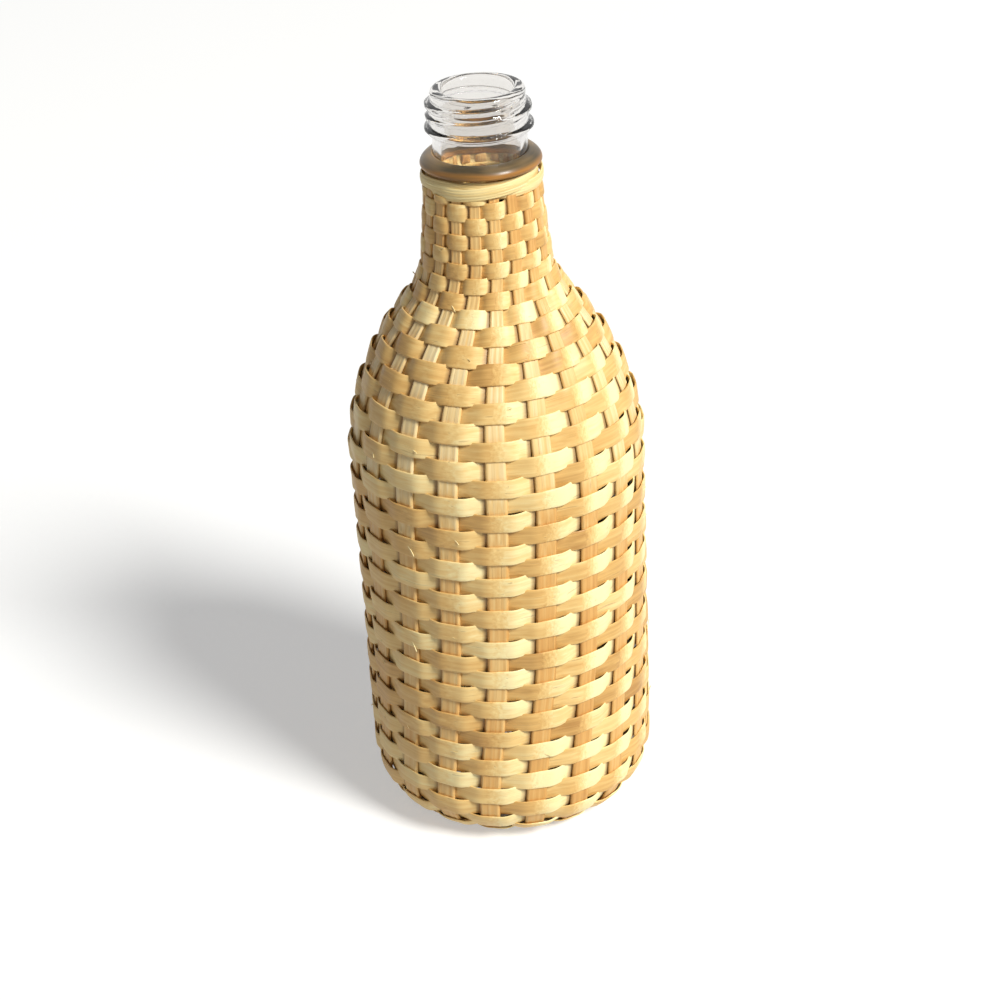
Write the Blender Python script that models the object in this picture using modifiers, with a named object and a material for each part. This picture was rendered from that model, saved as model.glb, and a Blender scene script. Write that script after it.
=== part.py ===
"""A glass bottle in a woven straw cover, with a twisted border and a cane ring round its neck.

Units are metres and +Z is up. The origin is the centre of the underside, on the surface that
the bottle stands on, and its front faces -Y. Azimuths are measured from the front towards +X.

The cover is a plain weave. Nineteen upright stakes run from the hub under the base to the
ring, and one spiral of flat strips goes over one stake and under the next. As the number of
stakes is odd, each round of the spiral passes over the stakes that the last one went under.
"""

import math
from dataclasses import dataclass

import bmesh
import bpy
from mathutils import Vector

# Glass bottle
OVERALL_HEIGHT = 0.215
GLASS_RADIUS = 0.0389
GLASS_WALL = 0.0025
GLASS_FLOOR = 0.004
PUSH_UP_HEIGHT = 0.003
HEEL_RADIUS = 0.014
SHOULDER_RADIUS = 0.0687
SHOULDER_ANGLE = math.radians(36.0)
NECK_ROOT_RADIUS = 0.0243
NECK_TAPER_ANGLE = math.radians(5.5)
NECK_TAPER_LENGTH = 0.0285
NECK_RADIUS = 0.01265

# Screw finish of the mouth
FINISH_HEIGHT = 0.0169
BORE_RADIUS = 0.0093
LIP_RADIUS = 0.0124
LIP_ROUNDING = 0.0007
BEAD_RADIUS = 0.0137
BEAD_HEIGHT = 0.0024
BEAD_DROP = 0.0104
THREAD_RADIUS = 0.0139
THREAD_PITCH = 0.0031
THREAD_TURNS = 1.5
THREAD_DROP = 0.0026
THREAD_ROOT_WIDTH = 0.0021
THREAD_CREST_WIDTH = 0.0008
THREAD_RUNOUT_ANGLE = math.radians(25.0)
THREAD_START_ANGLE = math.radians(60.0)

# Straw cover
STAKE_COUNT = 19
STAKE_WIDTH = 0.0058
STAKE_THICKNESS = 0.0005
STAKE_TAPER_SHARE = 0.7
STRIP_THICKNESS = 0.00045
STRAND_COUNT = 12
ROW_PITCH = 0.005
CLEARANCE = 0.0003
BEND_MARGIN = 0.0002

# Hub under the base, border and ring at the neck
HUB_RADIUS = 0.01455
STAKE_START_RADIUS = 0.009
RING_HEIGHT = 0.0037
RING_WIDTH = 0.00275
BORDER_HEIGHT = 0.0040
BORDER_DEPTH = 0.0019
BORDER_TWISTS = 2

# Shares of the overall height, each with the lean of the stakes round the bottle there
LEAN_ANGLE_SHARES = (
    (0.0, math.radians(-12.0)),
    (0.08, math.radians(-11.0)),
    (0.28, math.radians(-4.5)),
    (0.5, math.radians(-1.5)),
    (0.63, math.radians(-0.8)),
    (0.7, math.radians(2.0)),
    (0.8, math.radians(9.5)),
    (1.0, math.radians(11.0)),
)
# Shares of the overall height, each with the share of the row pitch that the rows have there
ROW_PITCH_SHARES = ((0.0, 1.0), (0.73, 1.0), (0.77, 0.8), (1.0, 0.8))
# The share of its pitch to which the strip has narrowed where it ends, under the border
LAST_ROW_SHARE = 0.35
# How much of the half width of a stake a strip lies flat on, where it then runs straight on
SLACK_FLAT_SHARE = 0.82

# Facets
TURNED_STEPS = 24
THREAD_STEPS_PER_TURN = 20
DOME_STEPS = 2
HEEL_STEPS = 4
SHOULDER_STEPS = 4
ROOT_STEPS = 3
BORE_STEPS = 2
STAKE_HEEL_STEPS = 7
STAKE_BODY_STEPS = 3
STAKE_SHOULDER_STEPS = 5
STAKE_ROOT_STEPS = 2
BORDER_STEPS_PER_TWIST = 20
BORDER_SIDES = 4
HUB_SIDES = 24

# Layers of the cover, from the glass outwards: strip, stake, strip, each with its clearance
WEAVE_OFFSET = STAKE_THICKNESS / 2 + CLEARANCE + STRIP_THICKNESS / 2
COVER_THICKNESS = 2 * WEAVE_OFFSET + STRIP_THICKNESS
MID_OFFSET = CLEARANCE + STRIP_THICKNESS / 2 + WEAVE_OFFSET
GLASS_BOTTOM = COVER_THICKNESS + CLEARANCE
STAKE_PITCH_ANGLE = math.tau / STAKE_COUNT
RING_TOP = OVERALL_HEIGHT - FINISH_HEIGHT
RING_BOTTOM = RING_TOP - RING_HEIGHT

GLASS_COLOUR = (0.86, 0.9, 0.88)
STRAW_COLOUR = (0.78, 0.6, 0.32)
STAKE_COLOUR = (0.74, 0.52, 0.25)
BORDER_COLOUR = (0.84, 0.7, 0.42)
RING_COLOUR = (0.3, 0.14, 0.04)


def interpolate(table, share):
    """The value that a table of (share, value) pairs gives at a share, in straight lines."""
    for (low, start), (high, end) in zip(table, table[1:]):
        if share <= high:
            return start + (end - start) * max(share - low, 0) / (high - low)
    return table[-1][1]


@dataclass
class Leg:
    """A straight or round stretch of an outline. A turn to the left is a positive angle."""

    length: float
    turn: float
    radius: float
    height: float
    heading: float

    def at(self, distance):
        """Radius, height and heading after a distance along this leg."""
        heading = self.heading + self.turn * distance / self.length
        if not self.turn:
            r = self.radius + distance * math.cos(heading)
            return r, self.height + distance * math.sin(heading), heading
        bend = self.length / self.turn
        r = self.radius + bend * (math.sin(heading) - math.sin(self.heading))
        return r, self.height - bend * (math.cos(heading) - math.cos(self.heading)), heading


class Outline:
    """The bottle's side, from the axis under the base up to the foot of the finish.

    It is moved outwards by an offset, so that the glass and every layer of the cover
    share their arcs' centres.
    """

    def __init__(self, offset):
        slope, taper = SHOULDER_ANGLE, NECK_TAPER_ANGLE
        run = GLASS_RADIUS - NECK_RADIUS - NECK_TAPER_LENGTH * math.sin(taper)
        run -= SHOULDER_RADIUS * (1 - math.cos(slope))
        run -= NECK_ROOT_RADIUS * (math.cos(taper) - math.cos(slope))
        slope_length = run / math.sin(slope)
        rise = RING_TOP - GLASS_BOTTOM - HEEL_RADIUS - slope_length * math.cos(slope)
        rise -= SHOULDER_RADIUS * math.sin(slope)
        rise -= NECK_ROOT_RADIUS * (math.sin(slope) - math.sin(taper))
        rise -= NECK_TAPER_LENGTH * math.cos(taper)
        bends = (
            ("base", GLASS_RADIUS - HEEL_RADIUS, 0),
            ("heel", (HEEL_RADIUS + offset) * math.pi / 2, math.pi / 2),
            ("body", rise, 0),
            ("shoulder", (SHOULDER_RADIUS + offset) * slope, slope),
            ("slope", slope_length, 0),
            ("root", (NECK_ROOT_RADIUS - offset) * (slope - taper), taper - slope),
            ("neck", NECK_TAPER_LENGTH, 0),
        )
        self.legs = {}
        self.starts = {}
        self.length = 0
        place = (0, GLASS_BOTTOM - offset, 0)
        for name, length, turn in bends:
            self.legs[name] = Leg(length, turn, *place)
            self.starts[name] = self.length
            self.length += length
            place = self.legs[name].at(length)

    def leg_at(self, distance):
        """The name of the leg at a distance from the axis."""
        return [name for name, start in self.starts.items() if start <= max(distance, 0)][-1]

    def at(self, distance, outwards=0):
        """Radius, height and heading at a distance from the axis, moved outwards."""
        name = self.leg_at(distance)
        r, z, heading = self.legs[name].at(distance - self.starts[name])
        return r + outwards * math.sin(heading), z - outwards * math.cos(heading), heading

    def stops(self, name, steps):
        """Distances from the axis that cut a leg into equal steps, both ends included."""
        length = self.legs[name].length
        return [self.starts[name] + length * i / steps for i in range(steps + 1)]

    def bow(self, distance, span):
        """How far the outline bows outwards over a flat piece of this span, which is laid on it."""
        name = self.leg_at(distance)
        return span**2 * self.legs[name].turn / self.legs[name].length / 8

    def distance_at_height(self, height):
        """The distance from the axis at which the tapered neck reaches a height."""
        leg = self.legs["neck"]
        return self.starts["neck"] + (height - leg.height) / math.sin(leg.heading)


def around(r, z, azimuth):
    """The point at a radius, height and azimuth."""
    return Vector((r * math.sin(azimuth), -r * math.cos(azimuth), z))


def clear_scene():
    for obj in list(bpy.data.objects):
        bpy.data.objects.remove(obj, do_unlink=True)


def new_collection(name):
    collection = bpy.data.collections.new(name)
    bpy.context.scene.collection.children.link(collection)
    return collection


def new_material(name, colour, roughness, transmission=0.0):
    material = bpy.data.materials.new(name)
    material.use_nodes = True
    shader = material.node_tree.nodes["Principled BSDF"]
    shader.inputs["Base Color"].default_value = (*colour, 1.0)
    shader.inputs["Roughness"].default_value = roughness
    shader.inputs["Metallic"].default_value = 0.0
    shader.inputs["Transmission Weight"].default_value = transmission
    material.diffuse_color = (*colour, 1.0)
    return material


def new_object(name, mesh, collection, material, smooth=True):
    obj = bpy.data.objects.new(name, mesh)
    collection.objects.link(obj)
    if material is not None:
        mesh.materials.append(material)
    if smooth:
        mesh.shade_smooth()
        mesh.set_sharp_from_angle(angle=math.radians(40.0))
    return obj


def turned_object(name, profile, steps, collection, material, closed=False):
    """A turned piece: its profile of (radius, height) points, swept round by a Screw."""
    mesh = bpy.data.meshes.new(name)
    count = len(profile)
    edges = [(i, (i + 1) % count) for i in range(count if closed else count - 1)]
    mesh.from_pydata([(r, 0, z) for r, z in profile], edges, [])
    obj = new_object(name, mesh, collection, material, smooth=False)
    screw = obj.modifiers.new("turn", "SCREW")
    screw.axis = "Z"
    screw.steps = screw.render_steps = steps
    screw.use_merge_vertices = True
    screw.merge_threshold = LIP_ROUNDING / 100
    screw.use_smooth_shade = True
    return obj


def loft_object(name, sections, collection, material, closed=False):
    """A solid through rings of points, closed on itself or with a flat cap at each end."""
    form = bmesh.new()
    rings = [[form.verts.new(point) for point in section] for section in sections]
    pairs = list(zip(rings, rings[1:]))
    if closed:
        pairs.append((rings[-1], rings[0]))
    for ring, after in pairs:
        for i in range(len(ring)):
            k = (i + 1) % len(ring)
            form.faces.new((ring[i], ring[k], after[k], after[i]))
    if not closed:
        form.faces.new(rings[0])
        form.faces.new(rings[-1])
    bmesh.ops.recalc_face_normals(form, faces=form.faces)
    mesh = bpy.data.meshes.new(name)
    form.to_mesh(mesh)
    form.free()
    return new_object(name, mesh, collection, material)


def dome_point(radius, base, share):
    """A point of a shallow dome whose rim has this radius and height."""
    return radius * share, base + PUSH_UP_HEIGHT * (1 - share**2)


def bore_profile():
    """The bottle's inside, from the axis up to the foot of the finish."""
    inside = Outline(-GLASS_WALL)
    floor = GLASS_BOTTOM + GLASS_FLOOR
    heel = HEEL_RADIUS - GLASS_WALL
    foot = GLASS_RADIUS - GLASS_WALL - heel
    points = [dome_point(foot, floor, 0)]
    for i in range(BORE_STEPS + 1):
        angle = math.pi / 2 * i / BORE_STEPS
        points.append((foot + heel * math.sin(angle), floor + heel * (1 - math.cos(angle))))
    for name in ("shoulder", "root"):
        points += [inside.at(s)[:2] for s in inside.stops(name, BORE_STEPS)]
    points.append(inside.at(inside.length)[:2])
    return points


def finish_profile():
    """The mouth, up its bore, over the lip and down to the neck under the bead."""
    bead = OVERALL_HEIGHT - BEAD_DROP
    return [
        (BORE_RADIUS, bead),
        (BORE_RADIUS, OVERALL_HEIGHT - LIP_ROUNDING),
        (BORE_RADIUS + LIP_ROUNDING, OVERALL_HEIGHT),
        (LIP_RADIUS - LIP_ROUNDING, OVERALL_HEIGHT),
        (LIP_RADIUS, OVERALL_HEIGHT - LIP_ROUNDING),
        (LIP_RADIUS, bead + BEAD_HEIGHT / 2),
        (BEAD_RADIUS, bead + BEAD_HEIGHT / 4),
        (BEAD_RADIUS, bead - BEAD_HEIGHT / 4),
        (NECK_RADIUS, bead - BEAD_HEIGHT / 2),
    ]


def outer_profile():
    """The bottle's outside, from the foot of the finish down to the axis under the base."""
    outside = Outline(0)
    points = [outside.at(outside.length)[:2]]
    for name, steps in (("root", ROOT_STEPS), ("shoulder", SHOULDER_STEPS), ("heel", HEEL_STEPS)):
        points += [outside.at(s)[:2] for s in reversed(outside.stops(name, steps))]
    foot = outside.legs["heel"].radius - GLASS_WALL
    for i in range(DOME_STEPS + 1):
        points.append(dome_point(foot, GLASS_BOTTOM, 1 - i / DOME_STEPS))
    return points


def thread_sections():
    """Rings along the screw thread, whose ridge runs out into the glass at both ends."""
    sections = []
    total = math.tau * THREAD_TURNS
    steps = round(THREAD_STEPS_PER_TURN * THREAD_TURNS)
    root = LIP_RADIUS - GLASS_WALL / 4
    for i in range(steps + 1):
        angle = total * i / steps
        rise = min(angle, total - angle) / THREAD_RUNOUT_ANGLE
        crest = root + (THREAD_RADIUS - root) * min(rise, 1)
        crest = max(crest, root + CLEARANCE)
        middle = OVERALL_HEIGHT - THREAD_DROP - THREAD_PITCH * angle / math.tau
        azimuth = THREAD_START_ANGLE - angle
        half_root, half_crest = THREAD_ROOT_WIDTH / 2, THREAD_CREST_WIDTH / 2
        corners = (
            (root, middle - half_root),
            (crest, middle - half_crest),
            (crest, middle + half_crest),
            (root, middle + half_root),
        )
        sections.append([around(r, z, azimuth) for r, z in corners])
    return sections


def make_glass(collection, cutters):
    """The hollow bottle, with its screw thread joined on."""
    material = new_material("clear_glass", GLASS_COLOUR, 0.05, transmission=1.0)
    profile = bore_profile() + finish_profile() + outer_profile()
    glass = turned_object("glass_bottle", profile, TURNED_STEPS, collection, material)
    thread = loft_object("thread_ridge", thread_sections(), cutters, material)
    thread.hide_render = True
    thread.display_type = "WIRE"
    union = glass.modifiers.new("thread", "BOOLEAN")
    union.operation = "UNION"
    union.solver = "EXACT"
    union.object = thread


def stake_width(radius):
    """The width of a stake where the middle of the cover has this radius."""
    return STAKE_WIDTH * (radius / (GLASS_RADIUS + MID_OFFSET)) ** STAKE_TAPER_SHARE


def lean_angle(height):
    """How far the stakes have turned round the bottle at a height."""
    return interpolate(LEAN_ANGLE_SHARES, height / OVERALL_HEIGHT)


class StakeLine:
    """The middle line that every stake follows, from the hub to the ring."""

    def __init__(self, middle):
        self.middle = middle
        self.places = [(STAKE_START_RADIUS, 0)]
        for name, steps in (
            ("heel", STAKE_HEEL_STEPS),
            ("body", STAKE_BODY_STEPS),
            ("shoulder", STAKE_SHOULDER_STEPS),
            ("root", STAKE_ROOT_STEPS),
        ):
            stops = middle.stops(name, steps)
            half_bow = middle.bow(stops[1] - ROW_PITCH / 2, stops[1] - stops[0]) / 2
            self.places += [(stops[0], 0)] if self.places[-1][0] < stops[0] else []
            self.places += [(s, half_bow) for s in stops[1:-1]] + [(stops[-1], 0)]
        border_bottom = RING_BOTTOM - CLEARANCE - BORDER_HEIGHT
        inset = CLEARANCE + STAKE_THICKNESS / 2 - MID_OFFSET
        self.places += [
            (middle.distance_at_height(border_bottom - CLEARANCE), 0),
            (middle.distance_at_height(border_bottom + BORDER_DEPTH / 2), inset),
            (middle.distance_at_height(RING_BOTTOM - CLEARANCE), inset),
        ]
        self.leans = [(s, lean_angle(middle.at(s)[1])) for s, _ in self.places]

    def lean_at(self, distance):
        """How far the stakes have turned round the bottle at a distance from the axis."""
        return interpolate(self.leans, distance)

    def section(self, distance, outwards, azimuth):
        """The four corners of a stake's flat section."""
        r, z, heading = self.middle.at(distance, outwards)
        across = Vector((math.cos(azimuth), math.sin(azimuth), 0)) * stake_width(r) / 2
        normal = around(math.sin(heading), -math.cos(heading), azimuth) * STAKE_THICKNESS / 2
        centre = around(r, z, azimuth)
        inner, outer = centre - normal, centre + normal
        return [inner - across, inner + across, outer + across, outer - across]


def make_stakes(collection, line):
    """The upright strips, each one from the hub, round the heel and up to the ring."""
    for number in range(STAKE_COUNT):
        start = number * STAKE_PITCH_ANGLE
        sections = [line.section(s, out, start + line.lean_at(s)) for s, out in line.places]
        name = f"stake_{number + 1:02d}"
        material = new_material(name + "_straw", STAKE_COLOUR, 0.6)
        loft_object(name, sections, collection, material)


@dataclass
class Row:
    """Where the weave's spiral is, and how wide its strip is, after a number of rounds."""

    distance: float
    width: float


class Spiral:
    """The spiral of strips, counted in crossings: odd ones pass over their stake.

    The rows are packed evenly from the hub up to the border. In the last round the strip
    narrows, so that its upper edge follows the border.
    """

    def __init__(self, line):
        self.line = line
        self.middle = middle = line.middle
        border_bottom = RING_BOTTOM - CLEARANCE - BORDER_HEIGHT
        end = middle.distance_at_height(border_bottom - CLEARANCE) + CLEARANCE / 2
        edges = [HUB_RADIUS + CLEARANCE / 2]
        while edges[-1] < end:
            height = middle.at(edges[-1])[1]
            pitch = ROW_PITCH * interpolate(ROW_PITCH_SHARES, height / OVERALL_HEIGHT)
            edges.append(edges[-1] + pitch)
        edges[-1] = edges[-2] + pitch * LAST_ROW_SHARE
        stretch = (end - edges[0]) / (edges[-1] - edges[0])
        edges = [edges[0] + (edge - edges[0]) * stretch for edge in edges]
        self.rows = [
            Row((low + high) / 2, high - low - CLEARANCE) for low, high in zip(edges, edges[1:])
        ]
        self.rounds = len(self.rows[1:])

    def row_at(self, rounds):
        """The row that lies between two counted ones, in a straight line."""
        low = min(int(rounds), self.rounds - 1)
        share = rounds - low
        before, after = self.rows[low], self.rows[low + 1]
        distance = before.distance + (after.distance - before.distance) * share
        return Row(distance, before.width + (after.width - before.width) * share)

    def section(self, crossing, aside, outwards):
        """The strip's four corners beside a stake's middle, on its outer or inner side.

        A strip is flat, so on a round wall its edges lie in its layer and its middle is inside
        it. Under a stake it is let out by half of that, away from the glass.
        """
        row = self.row_at(crossing / STAKE_COUNT)
        if outwards < 0:
            outwards += self.middle.bow(row.distance, row.width) / 2
        low = Vector(self.middle.at(row.distance - row.width / 2, outwards)[:2])
        high = Vector(self.middle.at(row.distance + row.width / 2, outwards)[:2])
        along = (high - low).normalized() * row.width / 2
        normal = Vector((along.y, -along.x)).normalized() * STRIP_THICKNESS / 2
        centre = (low + high) / 2
        turned = math.atan2(aside, centre.x)
        centre.x /= math.cos(turned)
        azimuth = crossing * STAKE_PITCH_ANGLE + self.line.lean_at(row.distance) + turned
        corners = (-along - normal, along - normal, along + normal, -along + normal)
        return [around(*(centre + corner), azimuth) for corner in corners]

    def half_stake(self, row, r):
        """Half the width that a stake takes up across a row, as it leans."""
        lean = self.line.lean_at(row.distance + row.width / 2)
        lean -= self.line.lean_at(row.distance - row.width / 2)
        return stake_width(r) / 2 + abs(lean) * r / 2

    def bends_at(self, crossing):
        """How many bends a strip needs behind a stake, where the wall is this round.

        On the straight body it needs none, if a strip that is pulled straight from one stake
        to the next but one passes between the glass and the stake between them. It needs
        two, if a strip with a single bend would touch the edges of that stake.
        """
        row = self.row_at(crossing / STAKE_COUNT)
        r, _, heading = self.middle.at(row.distance)
        half = self.half_stake(row, r)
        edges = (row.distance - row.width / 2, row.distance + row.width / 2)
        if all(self.middle.leg_at(edge) == "body" for edge in edges):
            pulled = (r + WEAVE_OFFSET) * math.cos(STAKE_PITCH_ANGLE) - r
            pulled += stake_width(r) / 2 * SLACK_FLAT_SHARE * math.sin(STAKE_PITCH_ANGLE)
            if abs(pulled + WEAVE_OFFSET) < CLEARANCE / 2:
                return 0
        turned = STAKE_PITCH_ANGLE - (half + BEND_MARGIN) / r
        rise = 2 * WEAVE_OFFSET + BEND_MARGIN
        rise -= r * (1 - math.cos(turned)) * math.sin(heading)
        touch = rise * half / (r * math.sin(turned)) - BEND_MARGIN
        return 1 if touch < CLEARANCE / 3 else 2

    def sections(self, first, last):
        """Every section of one strand, whose ends lie hidden behind two stakes."""
        found = []
        for crossing in range(first, last + 1):
            row = self.row_at(crossing / STAKE_COUNT)
            r = self.middle.at(row.distance)[0]
            half_stake = self.half_stake(row, r)
            if crossing % 2:
                slack = self.bends_at(crossing) == 0
                slack_flat = stake_width(r) / 2 * SLACK_FLAT_SHARE
                flat = slack_flat if slack else half_stake + BEND_MARGIN
                asides, depth = (-flat, flat), WEAVE_OFFSET
            else:
                bends = max(self.bends_at(crossing + step) for step in (-1, 0, 1))
                flat = half_stake + BEND_MARGIN / 2
                asides = ((), (0,), (-flat, flat))[bends]
                depth = -WEAVE_OFFSET - BEND_MARGIN * (bends == 1)
                if crossing == first:
                    asides = (CLEARANCE / 2,) + asides[1:]
                elif crossing == last:
                    asides = asides[:-1] + (-CLEARANCE / 2,)
            found += [self.section(crossing, aside, depth) for aside in asides]
        return found


def make_weavers(collection, line):
    """The strands of the spiral, each one starting behind the stake where the last ended."""
    spiral = Spiral(line)
    crossings = spiral.rounds * STAKE_COUNT
    ends = [2 * round(crossings * i / STRAND_COUNT / 2) for i in range(STRAND_COUNT + 1)]
    for number, (first, last) in enumerate(zip(ends, ends[1:]), 1):
        name = f"weaver_{number:02d}"
        material = new_material(name + "_straw", STRAW_COLOUR, 0.55)
        loft_object(name, spiral.sections(first, last), collection, material)


def make_hub(collection):
    """The flat button under the base, on which the stakes' inner ends lie."""
    bpy.ops.mesh.primitive_cylinder_add(
        vertices=HUB_SIDES,
        radius=HUB_RADIUS,
        depth=STRIP_THICKNESS,
        location=(0, 0, STRIP_THICKNESS / 2),
    )
    hub = bpy.context.active_object
    hub.name = hub.data.name = "base_hub"
    for other in list(hub.users_collection):
        other.objects.unlink(hub)
    collection.objects.link(hub)
    hub.data.materials.append(new_material("hub_straw", STRAW_COLOUR, 0.6))


def make_border(collection):
    """Two strands twisted round each other, outside the ends of the stakes."""
    outside = Outline(0)
    middle_height = RING_BOTTOM - CLEARANCE - BORDER_HEIGHT / 2
    glass_radius = outside.at(outside.distance_at_height(middle_height))[0]
    ring_radius = glass_radius + STAKE_THICKNESS + 2 * CLEARANCE + BORDER_DEPTH / 2
    # Each strand is half the border less the gap, in depth and in height.
    half_depth = BORDER_DEPTH / 4 - CLEARANCE / 4
    half_height = BORDER_HEIGHT / 4 - CLEARANCE / 4
    swing_r = BORDER_DEPTH / 2 - half_depth
    swing_z = BORDER_HEIGHT / 2 - half_height
    steps = BORDER_TWISTS * BORDER_STEPS_PER_TWIST
    for strand, name in enumerate(("border_strand_a", "border_strand_b")):
        sections = []
        for i in range(steps):
            azimuth = math.tau * i / steps
            twist = BORDER_TWISTS * azimuth + math.pi * strand
            r = ring_radius + swing_r * math.cos(twist)
            z = middle_height + swing_z * math.sin(twist)
            ring = []
            for k in range(BORDER_SIDES):
                side = math.tau * k / BORDER_SIDES
                corner_r = r + half_depth * math.cos(side)
                ring.append(around(corner_r, z + half_height * math.sin(side), azimuth))
            sections.append(ring)
        material = new_material(name + "_straw", BORDER_COLOUR, 0.6)
        loft_object(name, sections, collection, material, closed=True)


def make_ring(collection):
    """The cane ring round the foot of the finish, half round on its outer side."""
    inner = NECK_RADIUS + CLEARANCE + RING_HEIGHT * math.sin(NECK_TAPER_ANGLE)
    outer = inner + RING_WIDTH
    rounding = RING_HEIGHT / 3
    profile = (
        (inner, RING_TOP - rounding / 2),
        (inner + rounding / 2, RING_TOP),
        (outer - rounding, RING_TOP),
        (outer, RING_TOP - rounding),
        (outer, RING_BOTTOM + rounding),
        (outer - rounding, RING_BOTTOM),
        (inner, RING_BOTTOM),
    )
    material = new_material("brown_cane", RING_COLOUR, 0.25)
    turned_object("neck_ring", profile, TURNED_STEPS, collection, material, closed=True)


def main():
    clear_scene()
    parts = new_collection("wicker_bottle")
    cutters = new_collection("cutters")
    line = StakeLine(Outline(MID_OFFSET))
    make_glass(parts, cutters)
    make_hub(parts)
    make_stakes(parts, line)
    make_weavers(parts, line)
    make_border(parts)
    make_ring(parts)


main()
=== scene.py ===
"""The looks of a glass bottle in a woven straw cover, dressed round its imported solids.

Units are metres and +Z is up. The origin is the centre of the underside and the front faces -Y.
Azimuths are measured from the front towards +X. Every layer of the cover follows the outline of
the glass, moved outwards, as it does in the solids.
"""

import logging
import math
from dataclasses import dataclass, field
from enum import Enum
from typing import Any, Optional, Sequence

import bpy
import numpy as np
from mathutils import Matrix, Vector

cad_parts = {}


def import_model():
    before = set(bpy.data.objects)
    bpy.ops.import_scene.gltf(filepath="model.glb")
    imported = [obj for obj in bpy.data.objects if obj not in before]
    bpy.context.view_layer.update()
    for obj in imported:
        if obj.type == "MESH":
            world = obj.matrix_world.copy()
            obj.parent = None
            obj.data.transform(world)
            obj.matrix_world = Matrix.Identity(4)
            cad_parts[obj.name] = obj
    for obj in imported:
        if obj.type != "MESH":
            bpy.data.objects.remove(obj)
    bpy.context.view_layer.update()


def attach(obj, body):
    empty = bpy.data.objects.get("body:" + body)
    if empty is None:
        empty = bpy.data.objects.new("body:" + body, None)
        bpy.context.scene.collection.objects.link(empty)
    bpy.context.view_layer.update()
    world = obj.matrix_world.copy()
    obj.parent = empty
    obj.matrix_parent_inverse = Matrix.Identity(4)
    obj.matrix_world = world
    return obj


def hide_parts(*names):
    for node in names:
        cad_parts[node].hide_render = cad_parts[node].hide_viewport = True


LOG = logging.getLogger("wicker_bottle")
BODY = "root"

Colour = tuple[float, float, float]
Stops = tuple[tuple[float, Colour], ...]
Table = tuple[tuple[float, float], ...]
Profile = list[tuple[float, float]]


class Slot(Enum):
    """The material slots of the record."""

    GLASS = "clear_glass"
    STRIP = "straw_strip"
    STAKE = "straw_stake"
    BORDER = "straw_border"
    CANE = "brown_cane"


class Reading(Enum):
    """The numbers that a straw piece carries on its points for its finish."""

    ALONG = "along"
    ACROSS = "across"
    TINT = "tint"
    # painted shade: how far a point's straw colour is darkened to stand in for shadow
    HIDDEN = "hidden"


def interpolate(table: Table, share: Any) -> Any:
    """The value of a table of rising shares, at one share or at each of an array."""
    return np.interp(share, *zip(*table))


def eased(share: Any) -> Any:
    """A share from 0 to 1, with a soft start and a soft end."""
    return share * share * (3 - 2 * share)


def around(r: float, z: float, azimuth: float) -> np.ndarray:
    """The point at a radius, height and azimuth."""
    return np.array((r * math.sin(azimuth), -r * math.cos(azimuth), z))


def unit(vectors: np.ndarray) -> np.ndarray:
    """The same vectors with a length of 1."""
    return vectors / np.linalg.norm(vectors, axis=-1, keepdims=True)


def arc(r: float, z: float, radius: float, start: float, turn: float, steps: int) -> Profile:
    """Points on an arc round a place, without the first; its start and turn are in degrees."""
    angles = [math.radians(start + turn * i / steps) for i in range(1, steps + 1)]
    return [(r + radius * math.cos(angle), z + radius * math.sin(angle)) for angle in angles]


@dataclass(frozen=True)
class Waver:
    """A smooth random change along a line: its greatest amount, and the length from knot to knot."""

    amount: float
    period: float

    def along(self, rng: np.random.Generator, lengths: np.ndarray) -> np.ndarray:
        """Draws one such line.

        Args:
            rng: The source of its random knots.
            lengths: Rising lengths along the line, at which it is read.

        Returns:
            The change at each length.
        """
        place = (lengths - lengths[0]) / self.period
        knots = rng.uniform(-1, 1, int(place[-1]) + 3)
        low = place.astype(int)
        share = eased(place - low)
        return self.amount * (knots[low] * (1 - share) + knots[low + 1] * share)


@dataclass(frozen=True)
class Silhouette:
    """The sizes of the glass bottle's side."""

    height: float = 0.215
    glass_radius: float = 0.0389
    bottom: float = 0.0023
    heel_radius: float = 0.014
    shoulder_radius: float = 0.0687
    shoulder_angle: float = math.radians(36.0)
    root_radius: float = 0.0243
    taper_angle: float = math.radians(5.5)
    taper_length: float = 0.0285
    neck_radius: float = 0.01265
    finish_height: float = 0.0169

    @property
    def neck_top(self) -> float:
        """The height of the foot of the finish, where the ring's top is."""
        return self.height - self.finish_height


@dataclass
class Leg:
    """A straight or round stretch of an outline. A turn to the left is a positive angle."""

    length: float
    turn: float
    radius: float
    height: float
    heading: float

    def at(self, distance: float) -> tuple[float, float, float]:
        """Finds a place on this leg.

        Args:
            distance: How far along the leg it is.

        Returns:
            The radius, height and heading there.
        """
        heading = self.heading + self.turn * distance / self.length
        if not self.turn:
            r = self.radius + distance * math.cos(heading)
            return r, self.height + distance * math.sin(heading), heading
        bend = self.length / self.turn
        r = self.radius + bend * (math.sin(heading) - math.sin(self.heading))
        return r, self.height - bend * (math.cos(heading) - math.cos(self.heading)), heading


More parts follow.
